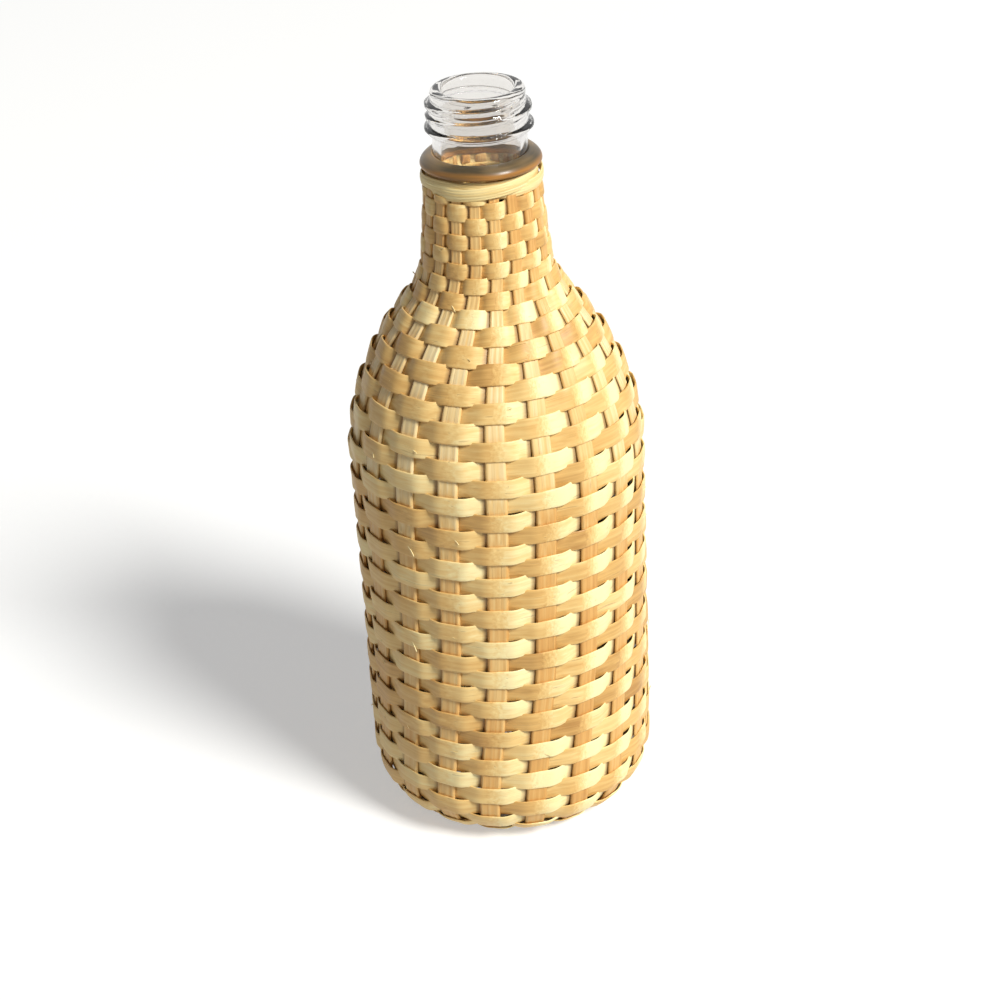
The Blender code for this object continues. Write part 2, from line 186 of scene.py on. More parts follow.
class Outline:
    """The bottle's side, from the axis under the base up to the foot of the finish."""

    def __init__(self, side: Silhouette, offset: float) -> None:
        """Lays the legs end to end.

        Args:
            side: The sizes of the bottle's side.
            offset: How far all the legs are moved outwards.
        """
        slope, taper = side.shoulder_angle, side.taper_angle
        run = side.glass_radius - side.neck_radius - side.taper_length * math.sin(taper)
        run -= side.shoulder_radius * (1 - math.cos(slope))
        run -= side.root_radius * (math.cos(taper) - math.cos(slope))
        slope_length = run / math.sin(slope)
        rise = side.neck_top - side.bottom - side.heel_radius
        rise -= slope_length * math.cos(slope) + side.shoulder_radius * math.sin(slope)
        rise -= side.root_radius * (math.sin(slope) - math.sin(taper))
        rise -= side.taper_length * math.cos(taper)
        bends = (
            ("base", side.glass_radius - side.heel_radius, 0),
            ("heel", (side.heel_radius + offset) * math.pi / 2, math.pi / 2),
            ("body", rise, 0),
            ("shoulder", (side.shoulder_radius + offset) * slope, slope),
            ("slope", slope_length, 0),
            ("root", (side.root_radius - offset) * (slope - taper), taper - slope),
            ("neck", side.taper_length, 0),
        )
        self.legs: dict[str, Leg] = {}
        self.starts: dict[str, float] = {}
        self.length = 0.0
        place = (0.0, side.bottom - offset, 0.0)
        for name, length, turn in bends:
            self.legs[name] = Leg(length, turn, *place)
            self.starts[name] = self.length
            self.length += length
            place = self.legs[name].at(length)

    def leg_at(self, distance: float) -> str:
        """The name of the leg at a distance from the axis."""
        return [name for name, start in self.starts.items() if start <= max(distance, 0)][-1]

    def at(self, distance: float, outwards: float = 0.0) -> tuple[float, float, float]:
        """Finds a place on the outline or beside it.

        Args:
            distance: How far from the axis it is, along the outline.
            outwards: How far it lies outside the outline.

        Returns:
            The radius, height and heading there.
        """
        name = self.leg_at(distance)
        r, z, heading = self.legs[name].at(distance - self.starts[name])
        return r + outwards * math.sin(heading), z - outwards * math.cos(heading), heading

    def points(self, name: str, steps: int, reverse: bool = False) -> Profile:
        """Points on one leg, upwards or in reverse, without the first of them."""
        shares = [1 - i / steps if reverse else i / steps for i in range(1, steps + 1)]
        return [self.at(self.starts[name] + self.legs[name].length * share)[:2] for share in shares]

    def distance_at_height(self, height: float) -> float:
        """The distance from the axis at which the tapered neck reaches a height."""
        leg = self.legs["neck"]
        return self.starts["neck"] + (height - leg.height) / math.sin(leg.heading)


class Signal:
    """A node's socket that can be written into sums."""

    def __init__(self, graph: "Graph", socket: Any) -> None:
        """Wraps an output socket of a graph."""
        self.graph = graph
        self.socket = socket

    def maths(self, operation: str, *others: Any, swapped: bool = False) -> "Signal":
        """This signal through a Math node, before the other values or, swapped, after them."""
        values = (*others, self) if swapped else (self, *others)
        return self.graph.node("ShaderNodeMath", {"operation": operation}, dict(enumerate(values)))

    def __add__(self, other: Any) -> "Signal":
        """This signal plus another value."""
        return self.maths("ADD", other)

    __radd__ = __add__

    def __sub__(self, other: Any) -> "Signal":
        """This signal less another value."""
        return self.maths("SUBTRACT", other)

    def __rsub__(self, other: Any) -> "Signal":
        """Another value less this signal."""
        return self.maths("SUBTRACT", other, swapped=True)

    def __mul__(self, other: Any) -> "Signal":
        """This signal times another value."""
        return self.maths("MULTIPLY", other)

    __rmul__ = __mul__

    def __truediv__(self, other: Any) -> "Signal":
        """This signal divided by another value."""
        return self.maths("DIVIDE", other)

    def output(self, name: str) -> "Signal":
        """Another output of the same node."""
        return Signal(self.graph, self.graph.socket(self.socket.node.outputs, name))

    def clamped(self) -> "Signal":
        """This signal, held between 0 and 1."""
        return self.maths("MAXIMUM", 0.0).maths("MINIMUM", 1.0)

    def step(self, low: float, high: float) -> "Signal":
        """A smooth step from 0 at the low value to 1 at the high one."""
        values = {"Value": self, "From Min": low, "From Max": high}
        return self.graph.node("ShaderNodeMapRange", {"interpolation_type": "SMOOTHSTEP"}, values)


class Graph:
    """A node tree that is filled by one method."""

    def __init__(self, tree: Any) -> None:
        """Wraps an empty shader or geometry tree."""
        self.tree = tree

    def node(self, kind: str, settings: Optional[dict] = None, values: Optional[dict] = None,
             output: Any = 0) -> Signal:
        """Adds a node.

        Args:
            kind: The node's type.
            settings: Its properties, set first. "stops" are the stops of its colour ramp.
            values: Values or signals for its sockets, by identifier, name or number.
            output: The name or number of the output to return.

        Returns:
            One output of the node.
        """
        node = self.tree.nodes.new(kind)
        for name, value in (settings or {}).items():
            if name == "stops":
                ramp = node.color_ramp
                while len(ramp.elements) < len(value):
                    ramp.elements.new(1.0)
                for element, (place, colour) in zip(ramp.elements, value):
                    element.position = place
                    element.color = (*colour, 1.0)
            else:
                setattr(node, name, value)
        for name, value in (values or {}).items():
            self.feed(self.socket(node.inputs, name), value)
        return Signal(self, self.socket(node.outputs, output) if node.outputs else None)

    @staticmethod
    def socket(sockets: Any, name: Any) -> Any:
        """Finds a socket.

        Args:
            sockets: The inputs or outputs of a node.
            name: Its number, identifier or name.

        Returns:
            The socket.
        """
        if isinstance(name, int):
            return sockets[name]
        for socket in sockets:
            if socket.identifier == name:
                return socket
        return sockets[name]

    def feed(self, socket: Any, value: Any) -> None:
        """Links a signal to a socket, or sets the socket's own value.

        Args:
            socket: The input socket.
            value: The signal or the value.
        """
        if isinstance(value, Signal):
            self.tree.links.new(value.socket, socket)
        elif socket.type == "RGBA" and len(value) == 3:
            socket.default_value = (*value, 1.0)
        else:
            socket.default_value = value

    def vector(self, x: Any = 0.0, y: Any = 0.0, z: Any = 0.0) -> Signal:
        """A vector of three values or signals."""
        return self.node("ShaderNodeCombineXYZ", {}, {0: x, 1: y, 2: z})

    def part(self, vector: Signal, axis: str) -> Signal:
        """The X, Y or Z of a vector."""
        return self.node("ShaderNodeSeparateXYZ", {}, {0: vector}, axis)

    def vectors(self, operation: str, values: dict, output: Any = 0) -> Signal:
        """The result of a Vector Math node."""
        return self.node("ShaderNodeVectorMath", {"operation": operation}, values, output)

    def place(self) -> Signal:
        """The place on the finished object."""
        return self.node("ShaderNodeTexCoord", {}, {}, "Object")

    def mixed(self, factor: Any, first: Any, second: Any) -> Signal:
        """Two colours, mixed by a factor."""
        values = {"Factor_Float": factor, "A_Color": first, "B_Color": second}
        return self.node("ShaderNodeMix", {"data_type": "RGBA"}, values, "Result_Color")

    def ramp(self, stops: Stops, tone: Signal) -> Signal:
        """The colour of a ramp at a tone."""
        return self.node("ShaderNodeValToRGB", {"stops": stops}, {0: tone})

    def reading(self, reading: Reading) -> Signal:
        """A number that the piece carries on its points."""
        settings = {"attribute_name": reading.value, "attribute_type": "GEOMETRY"}
        return self.node("ShaderNodeAttribute", settings, {}, "Fac")

    def noise(self, vector: Signal, scale: float, detail: float = 2.0) -> Signal:
        """A noise pattern from 0 to 1."""
        values = {"Vector": vector, "Scale": scale, "Detail": detail}
        return self.node("ShaderNodeTexNoise", {}, values, "Fac")

    def bump(self, height: Signal, distance: float, strength: float) -> Signal:
        """A normal that follows a height."""
        values = {"Height": height, "Distance": distance, "Strength": strength}
        return self.node("ShaderNodeBump", {}, values)


class Finish:
    """What every finish can do: fill a tree with its own surface."""

    name: str

    def surface(self, graph: Graph) -> Signal:
        """The shader of the finish, which each finish makes in its own way."""
        raise NotImplementedError(self.name)

    def material(self) -> Any:
        """Makes the finish as a Blender material.

        Returns:
            The material.
        """
        material = bpy.data.materials.new(self.name)
        material.use_nodes = True
        material.node_tree.nodes.clear()
        graph = Graph(material.node_tree)
        graph.node("ShaderNodeOutputMaterial", {}, {"Surface": self.surface(graph)})
        return material


@dataclass(frozen=True)
class StrawFinish(Finish):
    """Split straw: streaks that run along the strip, from brown through tan to cream.

    The shares say how much each pattern moves the tone from dark to pale.
    """

    name: str
    tones: Stops
    seam_colour: Colour = (0.30, 0.15, 0.05)
    # painted shadow: the dark colour mixed into the straw where a stake casts its shadow
    painted_shadow_colour: Colour = (0.26, 0.13, 0.045)
    streaks_along: float = 28.0
    streaks_across: float = 850.0
    fibres_along: float = 70.0
    fibres_across: float = 4200.0
    cracks_along: float = 14.0
    cracks_share: float = 2.6
    tint_step: float = 9.0
    blotch_scale: float = 70.0
    tint_share: float = 0.6
    streak_share: float = 0.55
    fibre_share: float = 0.25
    blotch_share: float = 0.45
    paleness: float = 0.26
    crack_edges: tuple[float, float] = (0.71, 0.79)
    cracked_streaks: tuple[float, float] = (0.45, 0.62)
    dark_fibres: tuple[float, float] = (0.62, 0.8)
    streak_relief: float = 0.55
    fibre_relief: float = 0.45
    crack_relief: float = 0.6
    crack_depth: float = 0.3
    fibre_depth: float = 0.12
    # how strongly the painted shadow darkens the straw
    painted_shadow_depth: float = 0.85
    roughness: float = 0.47
    roughness_share: float = 0.5
    relief: float = 0.00016
    relief_strength: float = 0.8
    index: float = 1.45

    def grain(self, graph: Graph, flow: Signal, along: float, across: float, detail: float) -> Signal:
        """A noise pattern, drawn out along the strip."""
        scaled = graph.vectors("MULTIPLY", {0: flow, 1: (along, across, self.tint_step)})
        return graph.noise(scaled, 1.0, detail)

    def surface(self, graph: Graph) -> Signal:
        """Fills the tree with the straw.

        Args:
            graph: The material's tree.

        Returns:
            The shader.
        """
        tint = graph.reading(Reading.TINT)
        flow = graph.vector(graph.reading(Reading.ALONG), graph.reading(Reading.ACROSS), tint)
        streaks = self.grain(graph, flow, self.streaks_along, self.streaks_across, 2.0)
        fibres = self.grain(graph, flow, self.fibres_along, self.fibres_across, 3.0)
        crack_width = self.streaks_across * self.cracks_share
        cracks = self.grain(graph, flow, self.cracks_along, crack_width, 0.0)
        blotches = graph.noise(graph.place(), self.blotch_scale, 3.0)
        tone = tint * self.tint_share + (streaks - 0.5) * self.streak_share
        tone = tone + (fibres - 0.5) * self.fibre_share + (blotches - 0.5) * self.blotch_share
        colour = graph.ramp(self.tones, tone + self.paleness)
        crack = cracks.step(*self.crack_edges) * streaks.step(*self.cracked_streaks)
        colour = graph.mixed(crack * self.crack_depth, colour, self.seam_colour)
        fibre = fibres.step(*self.dark_fibres) * self.fibre_depth
        colour = graph.mixed(fibre, colour, self.seam_colour)
        # painted shade and shadow: the colour is darkened towards the shadow colour by the painted shade
        # that each point carries
        hidden = graph.reading(Reading.HIDDEN) * self.painted_shadow_depth
        height = streaks * self.streak_relief + fibres * self.fibre_relief
        height = height - crack * self.crack_relief
        return graph.node("ShaderNodeBsdfPrincipled", {}, {
            "Base Color": graph.mixed(hidden, colour, self.painted_shadow_colour),
            "Roughness": (self.roughness + (fibres - 0.5) * self.roughness_share).clamped(),
            "Normal": graph.bump(height, self.relief, self.relief_strength),
            "IOR": self.index,
        })


@dataclass(frozen=True)
class CaneFinish(Finish):
    """Varnished brown cane: dark olive on its top, orange brown on its outside, with a shine."""

    top: float
    height: float
    name: str = "varnished_cane"
    upper: Stops = (
        (0.3, (0.050, 0.034, 0.012)),
        (0.7, (0.160, 0.102, 0.040)),
    )
    outer: Stops = (
        (0.25, (0.210, 0.100, 0.020)),
        (0.5, (0.360, 0.155, 0.028)),
        (0.75, (0.460, 0.230, 0.055)),
    )
    patch_scale: float = 75.0
    grain_scale: tuple[float, float, float] = (60.0, 60.0, 1500.0)
    patch_share: float = 1.5
    grain_share: float = 0.8
    middle_tone: float = 0.52
    edge_shares: tuple[float, float] = (0.62, 0.3)
    edge_waver: float = 0.5
    roughness: float = 0.26
    roughness_share: float = 0.22
    patch_relief: float = 2.0
    relief: float = 0.00012
    relief_strength: float = 0.6
    shine: float = 0.35
    varnish: float = 0.1
    varnish_roughness: float = 0.14

    def surface(self, graph: Graph) -> Signal:
        """Fills the tree with the cane.

        Args:
            graph: The material's tree.

        Returns:
            The shader.
        """
        place = graph.place()
        wide = graph.noise(place, self.patch_scale, 2.0)
        stretched = graph.node("ShaderNodeMapping", {}, {"Scale": self.grain_scale, "Vector": place})
        grain = graph.noise(stretched, 1.0, 3.0)
        tone = (wide - 0.5) * self.patch_share + (grain - 0.5) * self.grain_share + self.middle_tone
        raised = graph.part(place, "Z") + (wide - 0.5) * self.height * self.edge_waver
        above = raised.step(*(self.top - self.height * share for share in self.edge_shares))
        colour = graph.mixed(above, graph.ramp(self.outer, tone), graph.ramp(self.upper, tone))
        height = grain + wide * self.patch_relief
        return graph.node("ShaderNodeBsdfPrincipled", {}, {
            "Base Color": colour,
            "Roughness": self.roughness + grain * self.roughness_share,
            "Normal": graph.bump(height, self.relief, self.relief_strength),
            "Specular IOR Level": self.shine,
            "Coat Weight": self.varnish,
            "Coat Roughness": self.varnish_roughness,
        })


@dataclass(frozen=True)
class GlassFinish(Finish):
    """Clear pressed glass, a little uneven, which lets light through to what it holds."""

    name: str = "clear_bottle_glass"
    colour: Colour = (0.83, 0.81, 0.785)
    passed: Colour = (0.9, 0.89, 0.87)
    index: float = 1.43
    ripple_scale: float = 190.0
    smear_scale: float = 420.0
    smear_edges: tuple[float, float] = (0.5, 0.75)
    smear_roughness: float = 0.06
    relief: float = 0.0009
    relief_strength: float = 0.25

    def surface(self, graph: Graph) -> Signal:
        """Fills the tree with the glass.

        Args:
            graph: The material's tree.

        Returns:
            The shader.
        """
        place = graph.place()
        ripple = graph.noise(place, self.ripple_scale, 1.0)
        smears = graph.noise(place, self.smear_scale, 3.0)
        glass = graph.node("ShaderNodeBsdfPrincipled", {}, {
            "Base Color": self.colour,
            "Roughness": smears.step(*self.smear_edges) * self.smear_roughness,
            "IOR": self.index,
            "Transmission Weight": 1.0,
            "Normal": graph.bump(ripple, self.relief, self.relief_strength),
        })
        clear = graph.node("ShaderNodeBsdfTransparent", {}, {"Color": self.passed})
        shadow = graph.node("ShaderNodeLightPath", {}, {}, "Is Shadow Ray")
        return graph.node("ShaderNodeMixShader", {}, {0: shadow, 1: glass, 2: clear})


STRIP_FINISH = StrawFinish(
    "straw_strips",
    (
        (0.05, (0.48, 0.25, 0.07)),
        (0.32, (0.71, 0.43, 0.14)),
        (0.58, (0.86, 0.61, 0.25)),
        (0.88, (0.97, 0.83, 0.44)),
    ),
)
STAKE_FINISH = StrawFinish(
    "straw_stakes",
    (
        (0.05, (0.48, 0.22, 0.055)),
        (0.35, (0.69, 0.38, 0.115)),
        (0.62, (0.81, 0.56, 0.235)),
        (0.90, (0.92, 0.77, 0.46)),
    ),
    streaks_across=1100.0,
    paleness=0.21,
)
BORDER_FINISH = StrawFinish(
    "straw_border",
    (
        (0.05, (0.50, 0.33, 0.12)),
        (0.35, (0.76, 0.55, 0.22)),
        (0.60, (0.87, 0.70, 0.34)),
        (0.90, (0.93, 0.82, 0.46)),
    ),
)


def mesh_object(name: str, points: np.ndarray, faces: Sequence, material: Any) -> Any:
    """Makes a smooth mesh piece in the scene.

    Args:
        name: Its name.
        points: Its points.
        faces: The corners of each face.
        material: Its finish.

    Returns:
        The piece.
    """
    mesh = bpy.data.meshes.new(name)
    mesh.from_pydata(points.tolist(), [], faces)
    mesh.shade_smooth()
    mesh.materials.append(material)
    piece = bpy.data.objects.new(name, mesh)
    bpy.context.scene.collection.objects.link(piece)
    return piece


def write_numbers(mesh: Any, name: str, kind: str, values: np.ndarray) -> None:
    """Stores numbers or vectors on a mesh's points.

    Args:
        mesh: The mesh.
        name: The name that they are read by.
        kind: FLOAT or FLOAT_VECTOR.
        values: One row for each point.
    """
    layer = mesh.attributes.new(name, kind, "POINT")
    slot = "value" if kind == "FLOAT" else "vector"
    layer.data.foreach_set(slot, np.ascontiguousarray(values, np.float32).ravel())


def write_readings(mesh: Any, readings: dict[Reading, np.ndarray]) -> None:
    """Stores numbers on a mesh's points for its finish."""
    for reading, values in readings.items():
        write_numbers(mesh, reading.value, "FLOAT", values)


def ring_faces(rings: int, sides: int, closed: bool) -> list[tuple[int, ...]]:
    """The faces of a skin over rings of points, with flat ends if it isn't closed.

    Args:
        rings: How many rings there are.
        sides: How many points each ring has.
        closed: Whether the last ring joins the first.

    Returns:
        The corners of each face.
    """
    faces: list[tuple[int, ...]] = []
    for i in range(rings if closed else rings - 1):
        here, after = i * sides, (i + 1) % rings * sides
        for k in range(sides):
            side = (k + 1) % sides
            faces.append((here + k, after + k, after + side, here + side))
    if not closed:
        faces.append(tuple(range(sides)))
        faces.append(tuple(reversed(range((rings - 1) * sides, rings * sides))))
    return faces


def settled(piece: Any, nodes: Sequence[str] = ()) -> Any:
    """Fixes a finished piece to the frame and reports it.

    Args:
        piece: The piece.
        nodes: The CAD nodes that it stands for, if it stands for any.

    Returns:
        The piece.
    """
    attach(piece, BODY)
    if nodes:
        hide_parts(*nodes)
    LOG.info("%s: %d faces", piece.name, len(piece.data.polygons))
    return piece


class GrownPiece:
    """A piece whose mesh is grown by a Geometry Nodes tree and then made plain."""

    def __init__(self, name: str) -> None:
        """Starts an empty tree with a geometry output.

        Args:
            name: The piece's name.
        """
        self.name = name
        self.tree = bpy.data.node_groups.new(name + "_tree", "GeometryNodeTree")
        self.graph = Graph(self.tree)
        self.values: dict[str, Any] = {}
        for way in ("INPUT", "OUTPUT"):
            self.tree.interface.new_socket("Geometry", in_out=way, socket_type="NodeSocketGeometry")
        self.entry = self.tree.nodes.new("NodeGroupInput")

    def size(self, name: str, value: Any, kind: str = "Float") -> Signal:
        """Adds a named input to the tree.

        Args:
            name: The input's name.
            value: Its value.
            kind: The type of its socket.

        Returns:
            The input as a signal.
        """
        kind = "NodeSocket" + kind
        socket = self.tree.interface.new_socket(name, in_out="INPUT", socket_type=kind)
        self.values[socket.identifier] = value
        return Signal(self.graph, Graph.socket(self.entry.outputs, socket.identifier))

    def geometry(self) -> Signal:
        """The mesh that the tree starts from."""
        return Signal(self.graph, self.entry.outputs[0])

    def position(self) -> Signal:
        """The place of each point."""
        return self.graph.node("GeometryNodeInputPosition")

    def noise(self, place: Signal, seed: Signal, scale: float, output: str) -> Signal:
        """A noise pattern over a place that differs for each seed."""
        values = {"Vector": place, "W": seed, "Scale": scale, "Detail": 1.0}
        return self.graph.node("ShaderNodeTexNoise", {"noise_dimensions": "4D"}, values, output)

    def moved(self, geometry: Signal, offset: Signal) -> Signal:
        """Geometry with each point moved by an offset."""
        values = {"Geometry": geometry, "Offset": offset}
        return self.graph.node("GeometryNodeSetPosition", {}, values)

    def spread(self, points: Signal, instance: Signal, values: dict) -> Signal:
        """Puts real copies of a mesh on points.

        Args:
            points: The points.
            instance: The mesh.
            values: How the copies are turned and scaled.

        Returns:
            The copies.
        """
        values = {"Points": points, "Instance": instance, **values}
        copies = self.graph.node("GeometryNodeInstanceOnPoints", {}, values)
        return self.graph.node("GeometryNodeRealizeInstances", {}, {0: copies})

    def tube(self, curve: Signal, width: Any, height: Any, sides: int) -> Signal:
        """Sweeps an oval section along a curve.

        Args:
            curve: The curve.
            width: The section's size along its X axis.
            height: The section's size along its Y axis.
            sides: How many sides the section has.

        Returns:
            The mesh, with its ends closed.
        """
        graph = self.graph
        values = {"Resolution": sides, "Radius": 0.5}
        section = graph.node("GeometryNodeCurvePrimitiveCircle", {}, values)
        values = {"Geometry": section, "Scale": graph.vector(width, height, 1.0)}
        section = graph.node("GeometryNodeTransform", {}, values)
        values = {"Curve": curve, "Profile Curve": section, "Fill Caps": True}
        return graph.node("GeometryNodeCurveToMesh", {}, values)

    def stored(self, geometry: Signal, readings: dict[Reading, Any]) -> Signal:
        """Stores numbers on the points for the finish.

        Args:
            geometry: The geometry.
            readings: The value or signal of each number.

        Returns:
            The geometry with its numbers.
        """
        for reading, value in readings.items():
            settings = {"data_type": "FLOAT", "domain": "POINT"}
            values = {"Geometry": geometry, "Name": reading.value, "Value": value}
            geometry = self.graph.node("GeometryNodeStoreNamedAttribute", settings, values)
        return geometry

    def grow(self, result: Signal, material: Any, seed_mesh: Optional[Any] = None) -> Any:
        """Ends the tree, evaluates it and keeps the result as a plain mesh.

        Args:
            result: The geometry to realise.
            material: The finish that the tree sets.
            seed_mesh: The mesh that the tree starts from, if it needs one.

        Returns:
            The finished object.
        """
        finish = self.size("Finish", material, "Material")
        real = self.graph.node("GeometryNodeRealizeInstances", {}, {0: result})
        values = {"Geometry": real, "Material": finish}
        dressed = self.graph.node("GeometryNodeSetMaterial", {}, values)
        self.graph.node("NodeGroupOutput", {}, {0: dressed})
        piece = bpy.data.objects.new(self.name, seed_mesh or bpy.data.meshes.new(self.name))
        bpy.context.scene.collection.objects.link(piece)
        modifier = piece.modifiers.new("growth", "NODES")
        modifier.node_group = self.tree
        for identifier, value in self.values.items():
            modifier[identifier] = value
        grown = piece.evaluated_get(bpy.context.evaluated_depsgraph_get())
        mesh = bpy.data.meshes.new_from_object(grown)
        piece.modifiers.clear()
        piece.data = mesh
        mesh.name = self.name
        mesh.shade_smooth()
        return piece


@dataclass
class Row:
    """Where the weave's spiral is, and how wide its strip is, after a number of rounds."""

    distance: float
    width: float


@dataclass
class StrawCover:
    """The woven cover: nineteen stakes and one spiral of strips over and under them.

    Tables give a value at shares of the bottle's height. Only the width shares go from behind a
    stake (0) to the crest over one (1), and the front and back of a strip's section are shares of
    its half width with shares of its half thickness.
    """

    side: Silhouette
    stake_count: int = 19
    stake_width: float = 0.0058
    stake_thickness: float = 0.0005
    taper_share: float = 0.7
    strip_thickness: float = 0.00045
    strand_count: int = 12
    row_pitch: float = 0.005
    clearance: float = 0.0003
    bend_margin: float = 0.0002
    hub_radius: float = 0.01455
    stake_start_radius: float = 0.009
    ring_height: float = 0.0037
    border_height: float = 0.004
    border_depth: float = 0.0019
    last_row_share: float = 0.35
    stake_rise: float = 0.00025
    stake_ridge: float = 0.00004
    stake_ridges: float = 2.5
    stake_step: float = 0.0011
    stake_unevenness: float = 0.00022
    unevenness_scale: float = 95.0
    tuck_depth: float = 0.0008
    # painted shadow: how far before each stake the strip is painted dark, where the stake casts its
    # shadow
    painted_shadow_reach: float = 0.0006
    painted_shadow_share: float = 0.35
    crest_shift_share: float = 0.18
    crest_play: tuple[float, float] = (-0.3, 0.5)
    width_shares: Table = ((0.0, 1.5), (0.1, 1.3), (0.45, 1.12), (0.85, 1.14), (1.0, 1.14))
    bend_length: float = 0.0015
    bend_limit: float = 0.42
    bend_samples: int = 5
    strip_step: float = 0.0009
    strip_front: Table = (
        (-1.0, 0.0), (-0.95, 0.8), (-0.85, 1.0), (-0.55, 1.0), (-0.25, 1.0), (0.0, 1.0),
        (0.25, 1.0), (0.55, 1.0), (0.85, 1.0), (0.95, 0.8), (1.0, 0.0),
    )
    strip_back: Table = ((0.93, -0.75), (0.5, -1.0), (0.0, -1.0), (-0.5, -1.0), (-0.93, -0.75))
    stake_front_points: int = 13
    stake_back: tuple[float, ...] = (0.95, 0.0, -0.95)
    seed: int = 11
    leans: Table = (
        (0.0, math.radians(-12.0)),
        (0.08, math.radians(-11.0)),
        (0.28, math.radians(-4.5)),
        (0.5, math.radians(-1.5)),
        (0.63, math.radians(-0.8)),
        (0.7, math.radians(2.0)),
        (0.8, math.radians(9.5)),
        (1.0, math.radians(11.0)),
    )
    pitch_shares: Table = ((0.0, 1.0), (0.73, 1.0), (0.77, 0.8), (1.0, 0.8))
    reliefs: Table = ((0.0, 1.0), (0.72, 1.0), (0.8, 0.7), (1.0, 0.7))
    crowns: Table = ((0.0, 0.00006), (0.7, 0.00006), (0.8, 0.00016), (1.0, 0.00016))
    flares: Table = (
        (0.0, 0.00005), (0.47, 0.0001), (0.54, 0.0006), (0.7, 0.0009), (0.77, 0.0002), (1.0, 0.0001),
    )
    width_wavers: tuple[Waver, ...] = (Waver(0.06, 0.021), Waver(0.02, 0.006))
    shift_waver: Waver = Waver(0.07, 0.017)
    tilt_waver: Waver = Waver(0.00014, 0.015)
    ripple_waver: Waver = Waver(0.00003, 0.0035)
    ripple_turn: float = 4.0
    middle_tint: float = 0.5
    strand_tint: float = 0.16
    tint_wavers: tuple[Waver, ...] = (Waver(0.3, 0.05), Waver(0.12, 0.013))
    # painted sheen: each pass is painted paler just past its crest, in place of the key lamp's sheen,
    # most on the side towards the lamp
    painted_sheen: float = 0.46
    painted_sheen_start: float = 0.03
    painted_sheen_reach: float = 0.17
    painted_sheen_waver: Waver = Waver(0.6, 0.02)
    # painted light: the side of the cover towards the key lamp is painted paler and the far side darker
    painted_light_azimuth: float = math.radians(45.0)
    painted_light_power: int = 4
    painted_light_side: float = 0.3
    painted_light_middle: float = 0.6
    strip_grain_step: float = 1.7
    stake_grain_step: float = 0.9
    stake_tints: tuple[float, ...] = (
        0.4, 0.2, 0.15, 0.3, 0.45, 0.5, 0.3, 0.4, 0.35, 0.5,
        0.25, 0.4, 0.55, 0.3, 0.2, 0.4, 0.45, 0.5, 0.46,
    )
    # painted light: the stakes are painted paler on the shoulder, which faces up into the key lamp
    shoulder_painted_light: Table = ((0.45, 0.0), (0.55, 0.42), (0.72, 0.42), (0.82, 0.0))

    def __post_init__(self) -> None:
        """Lays out the layers and the rows."""
        self.weave_offset = self.stake_thickness / 2 + self.clearance + self.strip_thickness / 2
        self.mid_offset = self.clearance + self.strip_thickness / 2 + self.weave_offset
        self.middle = Outline(self.side, self.mid_offset)
        self.pitch_angle = math.tau / self.stake_count
        self.ring_bottom = self.side.neck_top - self.ring_height
        self.border_bottom = self.ring_bottom - self.clearance - self.border_height
        end = self.middle.distance_at_height(self.border_bottom - self.clearance)
        edges = [self.hub_radius + self.clearance / 2]
        while edges[-1] < end + self.clearance / 2:
            height = self.middle.at(edges[-1])[1]
            pitch = self.row_pitch * interpolate(self.pitch_shares, height / self.side.height)
            edges.append(edges[-1] + pitch)
        edges[-1] = edges[-2] + pitch * self.last_row_share
        stretch = (end + self.clearance / 2 - edges[0]) / (edges[-1] - edges[0])
        edges = [edges[0] + (edge - edges[0]) * stretch for edge in edges]
        self.rows = [Row((low + high) / 2, high - low) for low, high in zip(edges, edges[1:])]
        self.rounds = len(self.rows) - 1

    def lean_at(self, distance: float) -> float:
        """How far the stakes have turned round the bottle at a distance from the axis."""
        return interpolate(self.leans, self.middle.at(distance)[1] / self.side.height)

    def stake_width_at(self, r: Any) -> Any:
        """The width of a stake where the middle of the cover has this radius."""
        share = r / (self.side.glass_radius + self.mid_offset)
        return self.stake_width * share**self.taper_share

    def row_at(self, rounds: float) -> Row:
        """Reads the spiral.

        Args:
            rounds: How many rounds it has made.

        Returns:
            The row that lies between two counted ones, in a straight line.
        """
        low = min(int(rounds), self.rounds - 1)
        share = rounds - low
        before, after = self.rows[low], self.rows[low + 1]
        distance = before.distance + (after.distance - before.distance) * share
        return Row(distance, before.width + (after.width - before.width) * share)

    def half_stake(self, row: Row, r: float) -> float:
        """Half the width that a stake takes up across a row, as it leans.

        Args:
            row: The row.
            r: The radius of the cover's middle there.

        Returns:
            The half width.
        """
        lean = self.lean_at(row.distance + row.width / 2)
        lean -= self.lean_at(row.distance - row.width / 2)
        return self.stake_width_at(r) / 2 + abs(lean) * r / 2

    def bend(self, crossing: int, aside: float, outwards: float) -> np.ndarray:
        """Places a strip's section beside the middle of a stake.

        Args:
            crossing: The stake that the strip crosses, counted along the spiral.
            aside: How far beside the stake's middle the section is.
            outwards: How far it lies outside the middle of the cover.

        Returns:
            The lower edge, middle and upper edge of the strip.
        """
        row = self.row_at(crossing / self.stake_count)
        points = []
        for lane in (-1, 0, 1):
            distance = row.distance + lane * row.width / 2
            r, z, _ = self.middle.at(distance, outwards)
            azimuth = crossing * self.pitch_angle + self.lean_at(distance)
            sideways = np.array((math.cos(azimuth), math.sin(azimuth), 0)) * aside
            points.append(around(r, z, azimuth) + sideways)
        return np.array(points)

